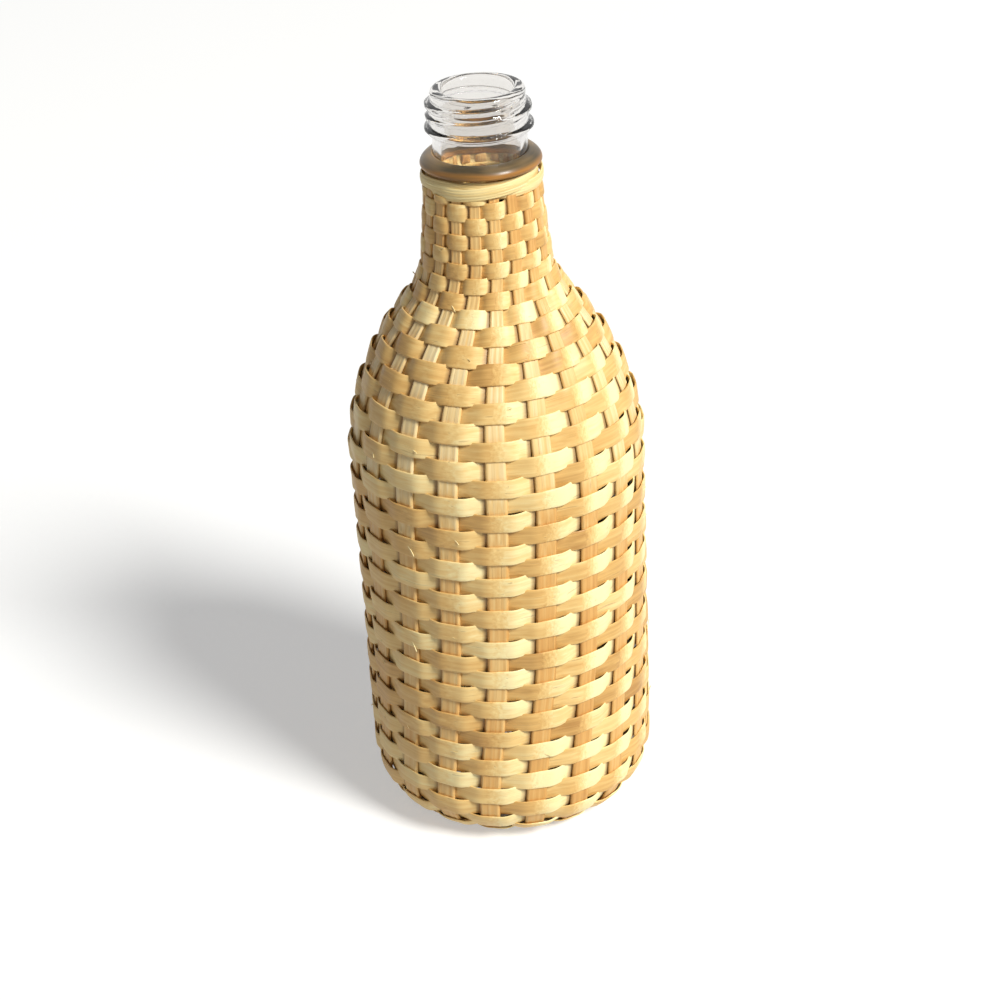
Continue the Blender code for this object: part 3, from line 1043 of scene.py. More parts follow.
    def bends(self, first: int, last: int, rng: np.random.Generator) -> tuple[np.ndarray, np.ndarray]:
        """Finds every bend of one strand.

        Args:
            first: The crossing behind which the strand starts.
            last: The crossing behind which it ends.
            rng: The source of its small irregularities.

        Returns:
            The three lanes of each bend, and its place, counted in crossings.
        """
        points, places = [], []
        for crossing in range(first, last + 1):
            row = self.row_at(crossing / self.stake_count)
            r, z, _ = self.middle.at(row.distance)
            half = self.half_stake(row, r)
            free = self.pitch_angle * r - 2 * (half + self.bend_margin)
            if crossing % 2:
                relief = interpolate(self.reliefs, z / self.side.height)
                flat = half + self.bend_margin
                play = rng.uniform(*self.crest_play) * self.bend_margin
                depth = self.weave_offset * relief + play
                asides = (-flat, flat + max(free, 0.0) * self.crest_shift_share)
            else:
                asides = (-half, half)
                depth = -self.tuck_depth
            for aside in asides:
                points.append(self.bend(crossing, aside, depth))
                places.append(crossing + math.atan2(aside, r) / self.pitch_angle)
        return np.array(points), np.array(places)

    def rounded(self, points: np.ndarray, places: np.ndarray) -> tuple[np.ndarray, np.ndarray]:
        """Rounds the bends of a strand and fills the straights between them.

        Args:
            points: The three lanes of each bend.
            places: The place of each bend, counted in crossings.

        Returns:
            The same for every sample along the strand.
        """
        lengths = np.linalg.norm(np.diff(points[:, 1], axis=0), axis=1)
        cuts = np.minimum(self.bend_length / lengths, self.bend_limit)
        track = np.concatenate([points.reshape(len(points), 9), places[:, None]], axis=1)
        samples = [track[0]]
        corner = np.linspace(0, 1, self.bend_samples)[:, None]
        final = len(lengths) - 1
        for i, length in enumerate(lengths):
            begin = cuts[i] if i else 0.0
            end = 1 - cuts[i] if i < final else 1.0
            steps = max(int(length * (end - begin) / self.strip_step), 1)
            shares = (begin + (end - begin) * np.arange(1, steps) / steps)[:, None]
            samples.extend(track[i] + (track[i + 1] - track[i]) * shares)
            if i < final:
                before = track[i] + (track[i + 1] - track[i]) * end
                after = track[i + 1] + (track[i + 2] - track[i + 1]) * cuts[i + 1]
                bent = before * (1 - corner) ** 2 + 2 * track[i + 1] * corner * (1 - corner)
                samples.extend(bent + after * corner**2)
        samples = np.array([*samples, track[-1]])
        return samples[:, :9].reshape(-1, 3, 3), samples[:, 9]

    def painted_shadow_mask(self, places: np.ndarray, middles: np.ndarray) -> np.ndarray:
        """How much painted shadow each sample of a strip gets just before the next stake, where that
        stake casts its shadow.

        Args:
            places: Its place along the strip, counted in crossings.
            middles: The strip's middle there.

        Returns:
            0 in the open and 1 in the painted shadow where the strip goes in behind the stake.
        """
        radii = np.linalg.norm(middles[:, :2], axis=1)
        halves = self.stake_width_at(radii) / 2
        ahead = (np.ceil(places / 2) * 2 - places) * self.pitch_angle * radii - halves
        reach = np.minimum(self.painted_shadow_reach, halves * self.painted_shadow_share)
        return np.clip((2 * reach - ahead) / reach, 0, 1)

    def strip_section(self) -> tuple[np.ndarray, np.ndarray, np.ndarray]:
        """Draws the section of a strip, from its lower edge over its front and back.

        Returns:
            For each point its share of the half width, its height and its share of the crown.
        """
        shares, heights = np.array(self.strip_front + self.strip_back).T
        crown = 1 - shares**2
        crown[len(self.strip_front):] = 0.0
        return shares, heights * self.strip_thickness / 2, crown

    def skin(self, number: int, lanes: np.ndarray, along: np.ndarray, over: np.ndarray,
             rng: np.random.Generator) -> tuple[np.ndarray, np.ndarray]:
        """Draws the skin of a strand.

        Args:
            number: The strand's number, which shifts its ripples.
            lanes: The lower edge, middle and upper edge of each sample along it.
            along: The length up to each sample.
            over: 1 where the strip is on a crest and 0 behind a stake.
            rng: The source of its irregularities.

        Returns:
            The points of each sample's section, and how far across the strip they lie.
        """
        width = interpolate(self.width_shares, over)
        width *= 1 + sum(waver.along(rng, along) for waver in self.width_wavers)
        shift = self.shift_waver.along(rng, along)[:, None]
        tilt = self.tilt_waver.along(rng, along)[:, None]
        ripple = self.ripple_waver.along(rng, along)[:, None]
        middles, ups = lanes[:, 1], (lanes[:, 2] - lanes[:, 0]) / 2
        bows = (lanes[:, 2] + lanes[:, 0]) / 2 - middles
        normals = unit(np.cross(np.gradient(middles, axis=0), ups))
        levels = middles[:, 2] / self.side.height
        crown = interpolate(self.crowns, levels)[:, None]
        flare = (interpolate(self.flares, levels) * over)[:, None]
        shares, heights, crown_shares = self.strip_section()
        reach = shares * width[:, None] + shift
        lift = heights + tilt * shares + crown * crown_shares + flare * (1 + shares) / 2
        lift += ripple * np.sin(shares * self.ripple_turn + number) * (heights > 0)
        points = middles[:, None] + ups[:, None] * reach[..., None]
        points += bows[:, None] * reach[..., None] ** 2 + normals[:, None] * lift[..., None]
        points[..., 2] = np.maximum(points[..., 2], 0.0)
        return points, reach * np.linalg.norm(ups, axis=1)[:, None]

    def tints(self, places: np.ndarray, middles: np.ndarray, along: np.ndarray,
              rng: np.random.Generator) -> np.ndarray:
        """How pale each sample of a strand is, with painted sheen just past each crest and painted light
        on the side towards the key lamp.

        Args:
            places: Its place along the spiral, counted in crossings.
            middles: The strip's middle there.
            along: The length up to it.
            rng: The source of the changes along the strand.

        Returns:
            The tint of each sample.
        """
        tint = self.middle_tint + self.strand_tint * rng.uniform(-1, 1)
        tint = tint + sum(waver.along(rng, along) for waver in self.tint_wavers)
        # painted sheen past each crest, strongest towards the key lamp
        past_crest = (places % 2 - 1 - self.painted_sheen_start) / self.painted_sheen_reach
        past_crest += self.painted_sheen_waver.along(rng, along)
        azimuths = np.arctan2(middles[:, 0], -middles[:, 1])
        painted_light_share = (0.5 + 0.5 * np.cos(azimuths - self.painted_light_azimuth)) ** self.painted_light_power
        tint += self.painted_sheen * painted_light_share * np.clip(past_crest, -1, 1)
        # painted light: paler towards the key lamp, darker away from it
        return tint + self.painted_light_side * (painted_light_share - self.painted_light_middle)

    def strand(self, number: int, first: int, last: int, material: Any) -> Any:
        """Makes one strand of the spiral, from behind one stake to behind another.

        Args:
            number: Its number, from 1.
            first: The crossing behind which it starts.
            last: The crossing behind which it ends.
            material: Its finish.

        Returns:
            The strand.
        """
        rng = np.random.default_rng(self.seed * 1000 + number)
        lanes, places = self.rounded(*self.bends(first, last, rng))
        middles = lanes[:, 1]
        along = np.concatenate([[0], np.cumsum(np.linalg.norm(np.diff(middles, axis=0), axis=1))])
        over = np.sin(places * math.pi / 2) ** 2
        points, across = self.skin(number, lanes, along, over, rng)
        rings, sides = across.shape
        faces = ring_faces(rings, sides, False)
        piece = mesh_object(f"woven_strand_{number:02d}", points.reshape(-1, 3), faces, material)
        write_readings(piece.data, {
            Reading.ALONG: np.repeat(along + number * self.strip_grain_step, sides),
            Reading.ACROSS: across.ravel(),
            Reading.TINT: np.repeat(self.tints(places, middles, along, rng), sides),
            # painted shadow before each stake, carried to the finish
            Reading.HIDDEN: np.repeat(self.painted_shadow_mask(places, middles), sides),
        })
        return piece

    def stake_section(self) -> tuple[np.ndarray, np.ndarray]:
        """Draws the section of a stake, whose front has fine ridges.

        Returns:
            For each point its share of the half width, and its height.
        """
        front = np.linspace(-1, 1, self.stake_front_points)
        half = self.stake_thickness / 2
        ridges = self.stake_ridge * np.cos(front * math.pi * self.stake_ridges)
        raised = half + self.stake_rise + ridges
        raised[[0, -1]] = 0.0
        sunk = np.full(len(self.stake_back), -half)
        return np.concatenate([front, self.stake_back]), np.concatenate([raised, sunk])

    def stake_mesh(self) -> Any:
        """Makes the mesh of one stake at azimuth 0, from the hub up to the ring.

        Returns:
            The mesh.
        """
        end = self.middle.distance_at_height(self.ring_bottom - self.clearance)
        steps = int((end - self.stake_start_radius) / self.stake_step)
        distances = self.stake_start_radius
        distances = distances + (end - distances) * np.arange(steps + 1) / steps
        inset = self.clearance + self.stake_thickness / 2 - self.mid_offset
        insets = (
            (self.middle.distance_at_height(self.border_bottom - self.clearance), 0.0),
            (self.middle.distance_at_height(self.border_bottom + self.border_depth / 2), inset),
        )
        shares, heights = self.stake_section()
        points = []
        for distance in distances:
            r, z, heading = self.middle.at(distance, interpolate(insets, distance))
            azimuth = self.lean_at(distance)
            sideways = np.array((math.cos(azimuth), math.sin(azimuth), 0))
            normal = around(math.sin(heading), -math.cos(heading), azimuth)
            reach = shares * self.stake_width_at(r) / 2
            points.append(around(r, z, azimuth) + sideways * reach[:, None] + normal * heights[:, None])
        mesh = bpy.data.meshes.new("stake")
        faces = ring_faces(len(points), len(shares), False)
        mesh.from_pydata(np.concatenate(points).tolist(), [], [face[::-1] for face in faces])
        write_readings(mesh, {
            Reading.ALONG: np.repeat(distances, len(shares)),
            Reading.ACROSS: np.tile(shares * self.stake_width / 2, len(points)),
        })
        return mesh

    def stakes(self, material: Any) -> Any:
        """Grows all the stakes from one, by turning it round the bottle.

        Args:
            material: Their finish.

        Returns:
            The piece.
        """
        piece = GrownPiece("upright_stakes")
        graph = piece.graph
        count = piece.size("Stake Count", self.stake_count, "Int")
        spread = piece.size("Unevenness", self.stake_unevenness)
        seed = piece.size("Seed", float(self.seed))
        turn = graph.node("GeometryNodeInputIndex") * math.tau / count
        places = graph.node("GeometryNodePoints", {}, {"Count": count})
        real = piece.spread(places, piece.geometry(), {"Rotation": graph.vector(z=turn)})
        noise = piece.noise(piece.position(), seed, self.unevenness_scale, "Color")
        centred = graph.vectors("SUBTRACT", {0: noise, 1: (0.5, 0.5, 0.5)})
        uneven = graph.vectors("SCALE", {0: centred, "Scale": spread})
        result = piece.grow(piece.moved(real, uneven), material, self.stake_mesh())
        mesh = result.data
        numbers = np.repeat(np.arange(self.stake_count), len(mesh.vertices) // self.stake_count)
        along = np.empty(len(mesh.vertices), np.float32)
        layer = mesh.attributes[Reading.ALONG.value].data
        layer.foreach_get("value", along)
        layer.foreach_set("value", along + numbers * self.stake_grain_step)
        levels = np.array([vertex.co.z for vertex in mesh.vertices]) / self.side.height
        # painted light on the shoulder's stakes
        shoulder_light = interpolate(self.shoulder_painted_light, levels)
        write_readings(mesh, {
            Reading.TINT: np.array(self.stake_tints)[numbers] + shoulder_light,
            Reading.HIDDEN: np.zeros(len(along)),
        })
        return result

    def build(self) -> None:
        """Makes and dresses the strands and the stakes."""
        strip, stake = STRIP_FINISH.material(), STAKE_FINISH.material()
        pairs = self.rounds * self.stake_count / 2
        ends = [2 * round(pairs * i / self.strand_count) for i in range(self.strand_count + 1)]
        for number, (first, last) in enumerate(zip(ends, ends[1:]), 1):
            piece = self.strand(number, first, last, strip)
            settled(piece, [f"weaver_{number:02d}"])
        names = [f"stake_{number + 1:02d}" for number in range(self.stake_count)]
        settled(self.stakes(stake), names)


@dataclass
class LooseFibres:
    """Thin splinters that have come off the straw and lie on the crests of the weave."""

    cover: StrawCover
    count: int = 70
    length: float = 0.0037
    thickness: float = 0.00024
    lift: float = 0.0006
    steps: int = 9
    sides: int = 6
    first_round: int = 6
    rounds_left_bare: int = 2
    starts_aside: tuple[float, float] = (-0.002, 0.001)
    look_ahead: float = 0.003
    across_share: float = 0.7
    turn_limit: float = 0.9
    length_shares: tuple[float, float] = (0.5, 1.3)
    tint: float = 0.95
    seed: int = 23

    def start(self, crossing: int, rng: np.random.Generator) -> tuple[np.ndarray, Any]:
        """Places one splinter on a crest.

        Args:
            crossing: The crossing over which the strip passes.
            rng: The source of its place and its turn.

        Returns:
            The point where it starts, and its turn as Euler angles.
        """
        cover = self.cover
        distance = cover.row_at(crossing / cover.stake_count).distance
        relief = interpolate(cover.reliefs, cover.middle.at(distance)[1] / cover.side.height)
        depth = cover.weave_offset + cover.strip_thickness / 2 - self.thickness / 4
        lanes = cover.bend(crossing, rng.uniform(*self.starts_aside), depth * relief)
        share = rng.uniform(-self.across_share, self.across_share)
        spot = lanes[1] + (lanes[2] - lanes[0]) / 2 * share
        ahead = cover.bend(crossing, self.look_ahead, depth * relief)[1] - lanes[1]
        out = Vector(np.cross(ahead, lanes[2] - lanes[0])).normalized()
        angle = rng.uniform(-self.turn_limit, self.turn_limit)
        way = Matrix.Rotation(angle, 3, out) @ Vector(ahead).normalized()
        return spot, Matrix((way, out.cross(way), out)).transposed().to_euler()

    def starts(self) -> Any:
        """Makes the mesh that the splinters grow from.

        Returns:
            A mesh with one point where each starts, and with its turn and its reach.
        """
        rng = np.random.default_rng(self.seed)
        stakes = self.cover.stake_count
        first = self.first_round * stakes // 2
        last = self.cover.rounds * stakes // 2 - self.rounds_left_bare * stakes // 2
        crests = rng.integers(first, last, self.count)
        spots, turns = zip(*(self.start(2 * int(crest) + 1, rng) for crest in crests))
        mesh = bpy.data.meshes.new("splinter_starts")
        mesh.from_pydata([tuple(spot) for spot in spots], [], [])
        write_numbers(mesh, "turn", "FLOAT_VECTOR", np.array([tuple(turn) for turn in turns]))
        write_numbers(mesh, "reach", "FLOAT", rng.uniform(*self.length_shares, self.count))
        return mesh

    def build(self) -> None:
        """Grows the splinters on their points."""
        piece = GrownPiece("loose_splinters")
        graph = piece.graph
        length = piece.size("Length", self.length)
        thickness = piece.size("Thickness", self.thickness)
        lift = piece.size("Lift", self.lift)
        line = graph.node("GeometryNodeCurvePrimitiveLine", {}, {"End": graph.vector(x=length)})
        line = graph.node("GeometryNodeResampleCurve", {}, {"Curve": line, "Count": self.steps})
        share = graph.node("GeometryNodeSplineParameter", {}, {}, "Factor")
        line = piece.moved(line, graph.vector(z=share * share * lift))
        turn, reach = (
            graph.node("GeometryNodeInputNamedAttribute", {"data_type": kind}, {"Name": name})
            for name, kind in (("turn", "FLOAT_VECTOR"), ("reach", "FLOAT"))
        )
        splinter = piece.tube(line, thickness, thickness, self.sides)
        grown = piece.spread(piece.geometry(), splinter, {"Rotation": turn, "Scale": reach})
        grown = piece.stored(grown, {
            Reading.ALONG: graph.part(piece.position(), "Z"),
            Reading.ACROSS: 0.0,
            Reading.TINT: self.tint,
            Reading.HIDDEN: 0.0,
        })
        settled(piece.grow(grown, STRIP_FINISH.material(), self.starts()))


@dataclass
class BaseHub:
    """The flat button under the base, coiled from one straw."""

    radius: float = 0.01455
    thickness: float = 0.00045
    turns: float = 5.0
    steps_per_turn: int = 64
    sides: int = 16
    start_share: float = 0.05
    straw_share: float = 0.97
    tint: float = 0.45
    # painted shade: the coil under the base is darkened as if in shadow
    hidden: float = 0.3

    def build(self) -> None:
        """Grows the coil along a flat spiral."""
        piece = GrownPiece("coiled_hub")
        graph = piece.graph
        radius = piece.size("Radius", self.radius)
        width = piece.size("Straw Width", self.radius / self.turns)
        thickness = piece.size("Straw Thickness", self.thickness)
        coil = graph.node("GeometryNodeCurveSpiral", {}, {
            "Resolution": self.steps_per_turn,
            "Rotations": self.turns,
            "Height": 0.0,
            "Start Radius": width * self.start_share,
            "End Radius": radius - width / 2,
        })
        straw = piece.tube(coil, width * self.straw_share, thickness, self.sides)
        values = {"Geometry": straw, "Translation": graph.vector(z=thickness / 2)}
        place = piece.position()
        straw = piece.stored(graph.node("GeometryNodeTransform", {}, values), {
            Reading.ACROSS: graph.vectors("LENGTH", {0: place}, "Value"),
            Reading.ALONG: graph.part(place, "X"),
            Reading.TINT: self.tint,
            Reading.HIDDEN: self.hidden,
        })
        settled(piece.grow(straw, STRIP_FINISH.material()), ["base_hub"])


@dataclass
class Lay:
    """How one bundle of straws lies in the border."""

    name: str
    phase: float
    straws: int
    spacing: float
    swings: bool


@dataclass
class Border:
    """The twisted straw border under the ring: two flat bundles of straws round a flat lining."""

    side: Silhouette
    top: float
    height: float = 0.0051
    depth: float = 0.0019
    clearance: float = 0.0003
    stake_thickness: float = 0.0005
    twists: int = 2
    straw_width: float = 0.00098
    straw_thickness: float = 0.0005
    unevenness: float = 0.00022
    unevenness_scale: float = 130.0
    straw_seed_step: float = 3.7
    cup_share: float = 0.08
    tint_steps: tuple[float, float] = (0.37, 0.11)
    tint_range: tuple[float, float] = (0.3, 0.5)
    steps: int = 300
    sides: int = 16
    seed: float = 3.0

    def offset(self, piece: GrownPiece, lay: Lay, number: Signal, twist: Signal) -> Signal:
        """How far each point of a bundle's rings lies from the ring they start as.

        Args:
            piece: The bundle.
            lay: How it lies.
            number: The number of the straw.
            twist: How far the bundle has turned round itself.

        Returns:
            The offset.
        """
        graph = piece.graph
        room_out = (self.depth - self.straw_thickness) / 2
        room_up = (self.height - lay.spacing * (lay.straws - 1) - self.straw_width) / 2
        swing_out = piece.size("Swing Outwards", room_out if lay.swings else 0.0)
        swing_up = piece.size("Swing Upwards", room_up if lay.swings else 0.0)
        inset = piece.size("Inset", 0.0 if lay.swings else room_out)
        spacing = piece.size("Straw Spacing", lay.spacing)
        uneven = piece.size("Unevenness", self.unevenness)
        seed = piece.size("Seed", self.seed + lay.phase) + number * self.straw_seed_step
        place = piece.position()
        waver = piece.noise(place, seed, self.unevenness_scale, "Fac")
        row = number - (lay.straws - 1) / 2
        out = twist.maths("COSINE") * swing_out - inset - row * row * spacing * self.cup_share
        up = twist.maths("SINE") * swing_up + row * spacing + (waver - 0.5) * uneven
        outward = graph.vectors("NORMALIZE", {0: place})
        sideways = graph.vectors("SCALE", {0: outward, "Scale": out})
        return graph.vectors("ADD", {0: sideways, 1: graph.vector(z=up + self.top - self.height / 2)})

    def bundle(self, lay: Lay, material: Any) -> Any:
        """Grows one bundle of straws, which lie side by side as they go round.

        Args:
            lay: How the bundle lies.
            material: Its finish.

        Returns:
            The bundle.
        """
        outside = Outline(self.side, 0.0)
        glass = outside.at(outside.distance_at_height(self.top - self.height / 2))[0]
        ring = glass + self.stake_thickness + 2 * self.clearance + self.depth / 2
        piece = GrownPiece(lay.name)
        graph = piece.graph
        radius = piece.size("Radius", ring)
        width = piece.size("Straw Width", self.straw_width)
        thickness = piece.size("Straw Thickness", self.straw_thickness)
        twists = piece.size("Twists", float(self.twists))
        phase = piece.size("Phase", lay.phase)
        values = {"Resolution": self.steps, "Radius": radius}
        circle = graph.node("GeometryNodeCurvePrimitiveCircle", {}, values)
        values = {"Geometry": circle, "Amount": piece.size("Straws", lay.straws, "Int")}
        rings = graph.node("GeometryNodeDuplicateElements", {"domain": "SPLINE"}, values)
        number = rings.output("Duplicate Index")
        factor = graph.node("GeometryNodeSplineParameter", {}, {}, "Factor")
        offset = self.offset(piece, lay, number, factor * math.tau * twists + phase)
        straw_step, bundle_step = self.tint_steps
        palest, reach = self.tint_range
        kept = self.captured(graph, piece.moved(rings, offset), {
            Reading.ALONG: factor * math.tau * radius,
            Reading.TINT: (number * straw_step + phase * bundle_step).maths("FRACT"),
        })
        mesh = piece.stored(piece.tube(kept, thickness, width, self.sides), {
            Reading.ALONG: kept.output(Reading.ALONG.value),
            Reading.TINT: kept.output(Reading.TINT.value) * reach + palest,
            Reading.ACROSS: graph.part(piece.position(), "Z"),
            Reading.HIDDEN: 0.0,
        })
        return piece.grow(mesh, material)

    @staticmethod
    def captured(graph: Graph, geometry: Signal, readings: dict[Reading, Signal]) -> Signal:
        """Keeps numbers of the curves' points for the mesh that is made of them.

        Args:
            graph: The tree.
            geometry: The curves.
            readings: The signal of each number.

        Returns:
            The curves, whose node has an output for each number.
        """
        kept = graph.node("GeometryNodeCaptureAttribute", {"domain": "POINT"}, {})
        node = kept.socket.node
        graph.feed(node.inputs["Geometry"], geometry)
        for reading, value in readings.items():
            node.capture_items.new("FLOAT", reading.value)
            graph.feed(node.inputs[reading.value], value)
        return kept

    def build(self) -> None:
        """Makes and dresses the lining and the two bundles."""
        material = BORDER_FINISH.material()
        for lay, node in (
            (Lay("border_lining", 0.0, 6, 0.00082, False), "border_strand_a"),
            (Lay("border_rope_a", 0.0, 5, 0.0006, True), "border_strand_a"),
            (Lay("border_rope_b", math.pi, 5, 0.0006, True), "border_strand_b"),
        ):
            settled(self.bundle(lay, material), [node])


@dataclass
class CaneRing:
    """The varnished ring round the foot of the finish: its top slopes away from the glass."""

    side: Silhouette
    height: float = 0.0037
    width: float = 0.00275
    clearance: float = 0.0003
    fit: float = 0.00004
    shoulder_share: float = 0.66
    upper_fullness: float = 1.75
    lower_fullness: float = 2.6
    inner_shares: tuple[float, ...] = (0.04, 0.5, 0.96)
    waves: tuple[tuple[float, int], ...] = ((0.00006, 3), (0.00004, 7))
    wave_start: float = 6.0
    segments: int = 160
    sides: int = 28
    seed: int = 5

    def section(self) -> Profile:
        """Draws the ring's section, from below its outer side up and down its inner side.

        Returns:
            Shares of the ring's width, and of its height over its widest place.
        """
        points = []
        for k in range(self.sides + 1):
            angle = math.pi * (k / self.sides - 0.5)
            upper = angle > 0
            power = 2 / (self.upper_fullness if upper else self.lower_fullness)
            rise = abs(math.sin(angle)) ** power
            rise *= self.shoulder_share if upper else self.shoulder_share - 1
            points.append((math.cos(angle) ** power if k % self.sides else 0.0, rise))
        return points + [(0.0, self.shoulder_share - share) for share in self.inner_shares]

    def build(self) -> None:
        """Turns the ring's soft section round the neck."""
        side, lean = self.side, self.side.taper_angle
        outer = side.neck_radius + self.clearance + self.height * math.sin(lean) + self.width
        widest = side.neck_top - self.height * self.shoulder_share
        rng = np.random.default_rng(self.seed)
        section = self.section()
        shares = np.linspace(0, 1, self.segments, endpoint=False)
        uneven = sum(
            size * np.sin(shares * math.tau * count + rng.uniform(0, self.wave_start))
            for size, count in self.waves
        )
        points = []
        for share, extra in zip(shares, uneven):
            for across, rise in section:
                z = widest + self.height * rise
                inner = side.neck_radius + (side.neck_top - z) * math.tan(lean) + self.fit
                r = inner + (outer + extra - inner) * across
                points.append(around(r, z, share * math.tau))
        faces = ring_faces(self.segments, len(section), True)
        finish = CaneFinish(top=side.neck_top, height=self.height)
        piece = mesh_object("cane_ring", np.array(points), faces, finish.material())
        settled(piece, ["neck_ring"])


@dataclass
class GlassBottle:
    """The hollow glass bottle with its screw-thread mouth, as one closed skin."""

    side: Silhouette
    wall: float = 0.0025
    floor: float = 0.004
    push_up: float = 0.003
    bore_radius: float = 0.0093
    lip_radius: float = 0.0124
    lip_rounding: float = 0.0012
    bead_radius: float = 0.0137
    bead_height: float = 0.0024
    bead_drop: float = 0.0104
    waist: float = 0.0002
    thread_radius: float = 0.0139
    thread_pitch: float = 0.0031
    thread_turns: float = 1.5
    thread_drop: float = 0.0026
    thread_root_width: float = 0.0021
    thread_crest_width: float = 0.0008
    collar_rise: float = 0.0006
    collar_drop: float = 0.0038
    collar_fade: float = 0.0014
    runout_angle: float = math.radians(25.0)
    start_angle: float = math.radians(60.0)
    segments: int = 144
    finish_steps: int = 96
    leg_steps: int = 12
    dome_steps: int = 8
    bore_steps: int = 6
    lip_steps: int = 5

    def __post_init__(self) -> None:
        """Works out the heights of the bead and of the lip's rounding."""
        self.bead = self.side.height - self.bead_drop
        self.lip = self.side.height - self.lip_rounding

    def thread_rise(self, z: float, azimuth: float) -> float:
        """How far the thread and its collar stand out over the lip's radius.

        Args:
            z: The height.
            azimuth: The azimuth.

        Returns:
            The rise there.
        """
        total = math.tau * self.thread_turns
        slope = (self.thread_root_width - self.thread_crest_width) / 2
        rise = 0.0
        angle = (self.start_angle - azimuth) % math.tau
        while angle <= total:
            middle = self.side.height - self.thread_drop - self.thread_pitch * angle / math.tau
            fade = min(min(angle, total - angle) / self.runout_angle, 1.0)
            full = (self.thread_root_width / 2 - abs(z - middle)) / slope
            rise = max(rise, fade * eased(min(max(full, 0.0), 1.0)))
            angle += math.tau
        collar = (self.side.height - self.collar_drop - z) / self.collar_fade
        collar = min(max(collar, 0.0), 1.0) * (z > self.bead)
        return max(rise * (self.thread_radius - self.lip_radius), self.collar_rise * eased(collar))

    def dome(self, radius: float, height: float, shares: Sequence[float]) -> Profile:
        """Points of the pushed-up base, at shares of its radius and over a height."""
        return [(radius * share, height + self.push_up * (1 - share**2)) for share in shares]

    def inside(self) -> Profile:
        """Draws the inside, from the axis up to the lip.

        Returns:
            The radius and height of each point.
        """
        outline = Outline(self.side, -self.wall)
        floor = self.side.bottom + self.floor
        heel = self.side.heel_radius - self.wall
        foot = self.side.glass_radius - self.wall - heel
        shares = [i / self.dome_steps for i in range(self.dome_steps + 1)]
        points = self.dome(foot, floor, shares) + arc(foot, floor + heel, heel, -90, 90, self.dome_steps)
        for name in ("body", "shoulder", "slope", "root", "neck"):
            points += outline.points(name, self.leg_steps)
        rise = (self.lip - self.bead) / self.bore_steps
        points += [(self.bore_radius, self.bead + rise * i) for i in range(self.bore_steps + 1)]
        middle = self.bore_radius + self.lip_rounding
        return points + arc(middle, self.lip, self.lip_rounding, 180, -90, self.lip_steps)

    def finish_radius(self, z: float) -> float:
        """The radius of the finish without its thread: neck, bead and lip.

        Args:
            z: The height.

        Returns:
            The radius there.
        """
        away = abs(z - self.bead)
        if away < self.bead_height / 2:
            swell = min((self.bead_height / 2 - away) / (self.bead_height / 3), 1.0)
            base = self.lip_radius if z > self.bead else self.side.neck_radius
            return base + (self.bead_radius - base) * math.sqrt(1 - (1 - swell) ** 2)
        if z > self.bead:
            return self.lip_radius
        foot = self.side.neck_top
        share = (z - foot) / (self.bead - self.bead_height / 2 - foot)
        return self.side.neck_radius - self.waist * math.sin(math.pi * min(max(share, 0), 1))

    def finish(self) -> Profile:
        """The outside of the finish without its thread, from under the lip's rounding down."""
        heights = np.linspace(self.lip, self.side.neck_top, self.finish_steps + 1)[1:]
        return [(self.finish_radius(z), z) for z in heights.tolist()]

    def outside(self) -> Profile:
        """Draws the outside below the finish, down to the axis under the pushed-up base.

        Returns:
            The radius and height of each point.
        """
        outline = Outline(self.side, 0.0)
        points: Profile = []
        for name in ("neck", "root", "slope", "shoulder", "body", "heel"):
            points += outline.points(name, self.leg_steps, True)
        shares = [1 - i / self.dome_steps for i in range(self.dome_steps + 1)]
        return points + self.dome(points[-1][0] - self.wall, self.side.bottom, shares)

    def build(self) -> None:
        """Turns the skin round the axis, with the thread raised on its finish."""
        profile = self.inside()
        middle = self.lip_radius - self.lip_rounding
        profile.append((middle, self.side.height))
        threaded = range(len(profile), len(profile) + self.lip_steps + self.finish_steps - 1)
        profile += arc(middle, self.lip, self.lip_rounding, 90, -90, self.lip_steps)
        profile += self.finish() + self.outside()
        poles = [around(0, profile[end][1], 0) for end in (0, -1)]
        profile = profile[1:-1]
        sides = len(profile)
        points, faces = [], []
        inner, outer = self.segments * sides, self.segments * sides + 1
        for k in range(self.segments):
            azimuth = math.tau * k / self.segments
            for i, (r, z) in enumerate(profile):
                rise = self.thread_rise(z, azimuth) if i in threaded else 0.0
                points.append(around(r + rise, z, azimuth))
            here, after = k * sides, (k + 1) % self.segments * sides
            for i in range(sides - 1):
                faces.append((here + i, here + i + 1, after + i + 1, after + i))
            faces.append((inner, here, after))
            faces.append((outer, after + sides - 1, here + sides - 1))
        skin = np.array(points + poles)
        piece = mesh_object("glass_vessel", skin, faces, GlassFinish().material())
        settled(piece, ["glass_bottle"])


def seen(graph: Graph, glass: float = 1.0) -> Signal:
    """1 where the camera or a gloss looks, this value through glass, and 0 elsewhere."""
    path = graph.node("ShaderNodeLightPath", {}, {}, "Is Camera Ray")
    return (path + path.output("Is Glossy Ray") + path.output("Is Transmission Ray") * glass).clamped()


@dataclass(frozen=True)
class FloorFinish(Finish):
    """A pale matt floor, which shows white to the camera and keeps the shadow."""

    name: str = "pale_floor"
    colour: Colour = (0.69, 0.69, 0.69)
    glow: float = 0.42
    glow_through_glass: float = 0.5

    def surface(self, graph: Graph) -> Signal:
        """Fills the tree with the floor.

        Args:
            graph: The material's tree.

        Returns:
            The shader.
        """
        matt = graph.node("ShaderNodeBsdfDiffuse", {}, {"Color": self.colour})
        strength = seen(graph, self.glow_through_glass) * self.glow
        values = {"Color": (1, 1, 1), "Strength": strength}
        glow = graph.node("ShaderNodeEmission", {}, values)
        return graph.node("ShaderNodeAddShader", {}, {0: matt, 1: glow})


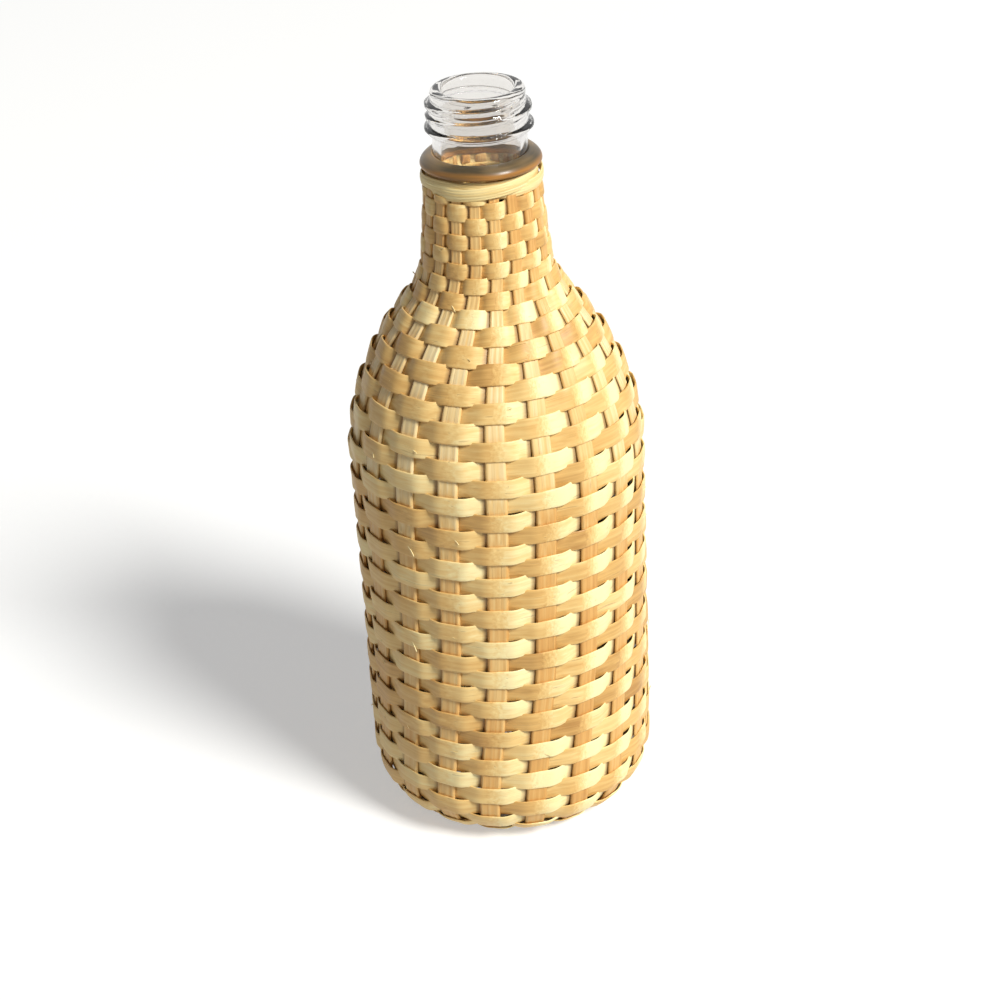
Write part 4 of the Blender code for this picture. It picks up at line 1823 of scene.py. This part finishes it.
@dataclass
class Studio:
    """A pale floor, a soft key lamp from the right, pale surroundings and the camera."""

    floor_size: float = 2.6
    key_azimuth: float = math.radians(48.0)
    key_elevation: float = math.radians(42.0)
    key_distance: float = 8.0
    key_target: Vector = field(default_factory=lambda: Vector((0, 0, 0.1)))
    key_size: float = 2.6
    key_power: float = 855.0
    key_colour: Colour = (1.0, 0.995, 0.96)
    fill: float = 0.1
    camera_place: Vector = field(default_factory=lambda: Vector((0.0, -0.5275, 0.3868)))
    camera_pitch: float = math.radians(60.91)
    camera_roll: float = math.radians(-3.19)
    lens: float = 76.44
    sensor_width: float = 36.0
    clip_start: float = 0.01

    def floor(self) -> None:
        """Lays the floor."""
        half = self.floor_size / 2
        corners = np.array([(-half, -half, 0), (half, -half, 0), (half, half, 0), (-half, half, 0)])
        mesh_object("floor", corners, [(0, 1, 2, 3)], FloorFinish().material())

    def surroundings(self) -> None:
        """Makes the world: white where it is seen, and a soft fill elsewhere."""
        world = bpy.data.worlds.new("studio")
        world.use_nodes = True
        world.node_tree.nodes.clear()
        graph = Graph(world.node_tree)
        values = {"Color": (1, 1, 1), "Strength": seen(graph) * (1 - self.fill) + self.fill}
        surface = graph.node("ShaderNodeBackground", {}, values)
        graph.node("ShaderNodeOutputWorld", {}, {"Surface": surface})
        bpy.context.scene.world = world

    def key(self) -> None:
        """Hangs the key lamp to the right of the camera."""
        lamp = bpy.data.lights.new("key", "AREA")
        lamp.shape = "DISK"
        lamp.size = self.key_size
        lamp.energy = self.key_power
        lamp.color = self.key_colour
        level = math.cos(self.key_elevation)
        way = Vector(around(level, math.sin(self.key_elevation), self.key_azimuth))
        obj = bpy.data.objects.new("key", lamp)
        obj.location = way * self.key_distance + self.key_target
        obj.rotation_euler = way.to_track_quat("Z", "Y").to_euler()
        bpy.context.scene.collection.objects.link(obj)

    def camera(self) -> None:
        """Sets up the camera of the photograph."""
        data = bpy.data.cameras.new("camera")
        data.lens = self.lens
        data.sensor_width = self.sensor_width
        data.clip_start = self.clip_start
        obj = bpy.data.objects.new("camera", data)
        turn = Matrix.Rotation(self.camera_pitch, 4, "X") @ Matrix.Rotation(self.camera_roll, 4, "Z")
        obj.matrix_world = Matrix.Translation(self.camera_place) @ turn
        bpy.context.scene.collection.objects.link(obj)
        bpy.context.scene.camera = obj

    def build(self) -> None:
        """Makes the stage, the light and the camera."""
        self.camera()
        self.floor()
        self.surroundings()
        self.key()
        bpy.context.scene.view_settings.view_transform = "Standard"


def main() -> None:
    """Builds every sub-assembly in order."""
    logging.basicConfig(level=logging.INFO, format="%(name)s %(message)s")
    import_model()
    side = Silhouette()
    cover = StrawCover(side)
    Studio().build()
    GlassBottle(side).build()
    cover.build()
    LooseFibres(cover).build()
    BaseHub().build()
    Border(side, cover.ring_bottom - cover.clearance).build()
    CaneRing(side).build()


if __name__ == "__main__":
    main()
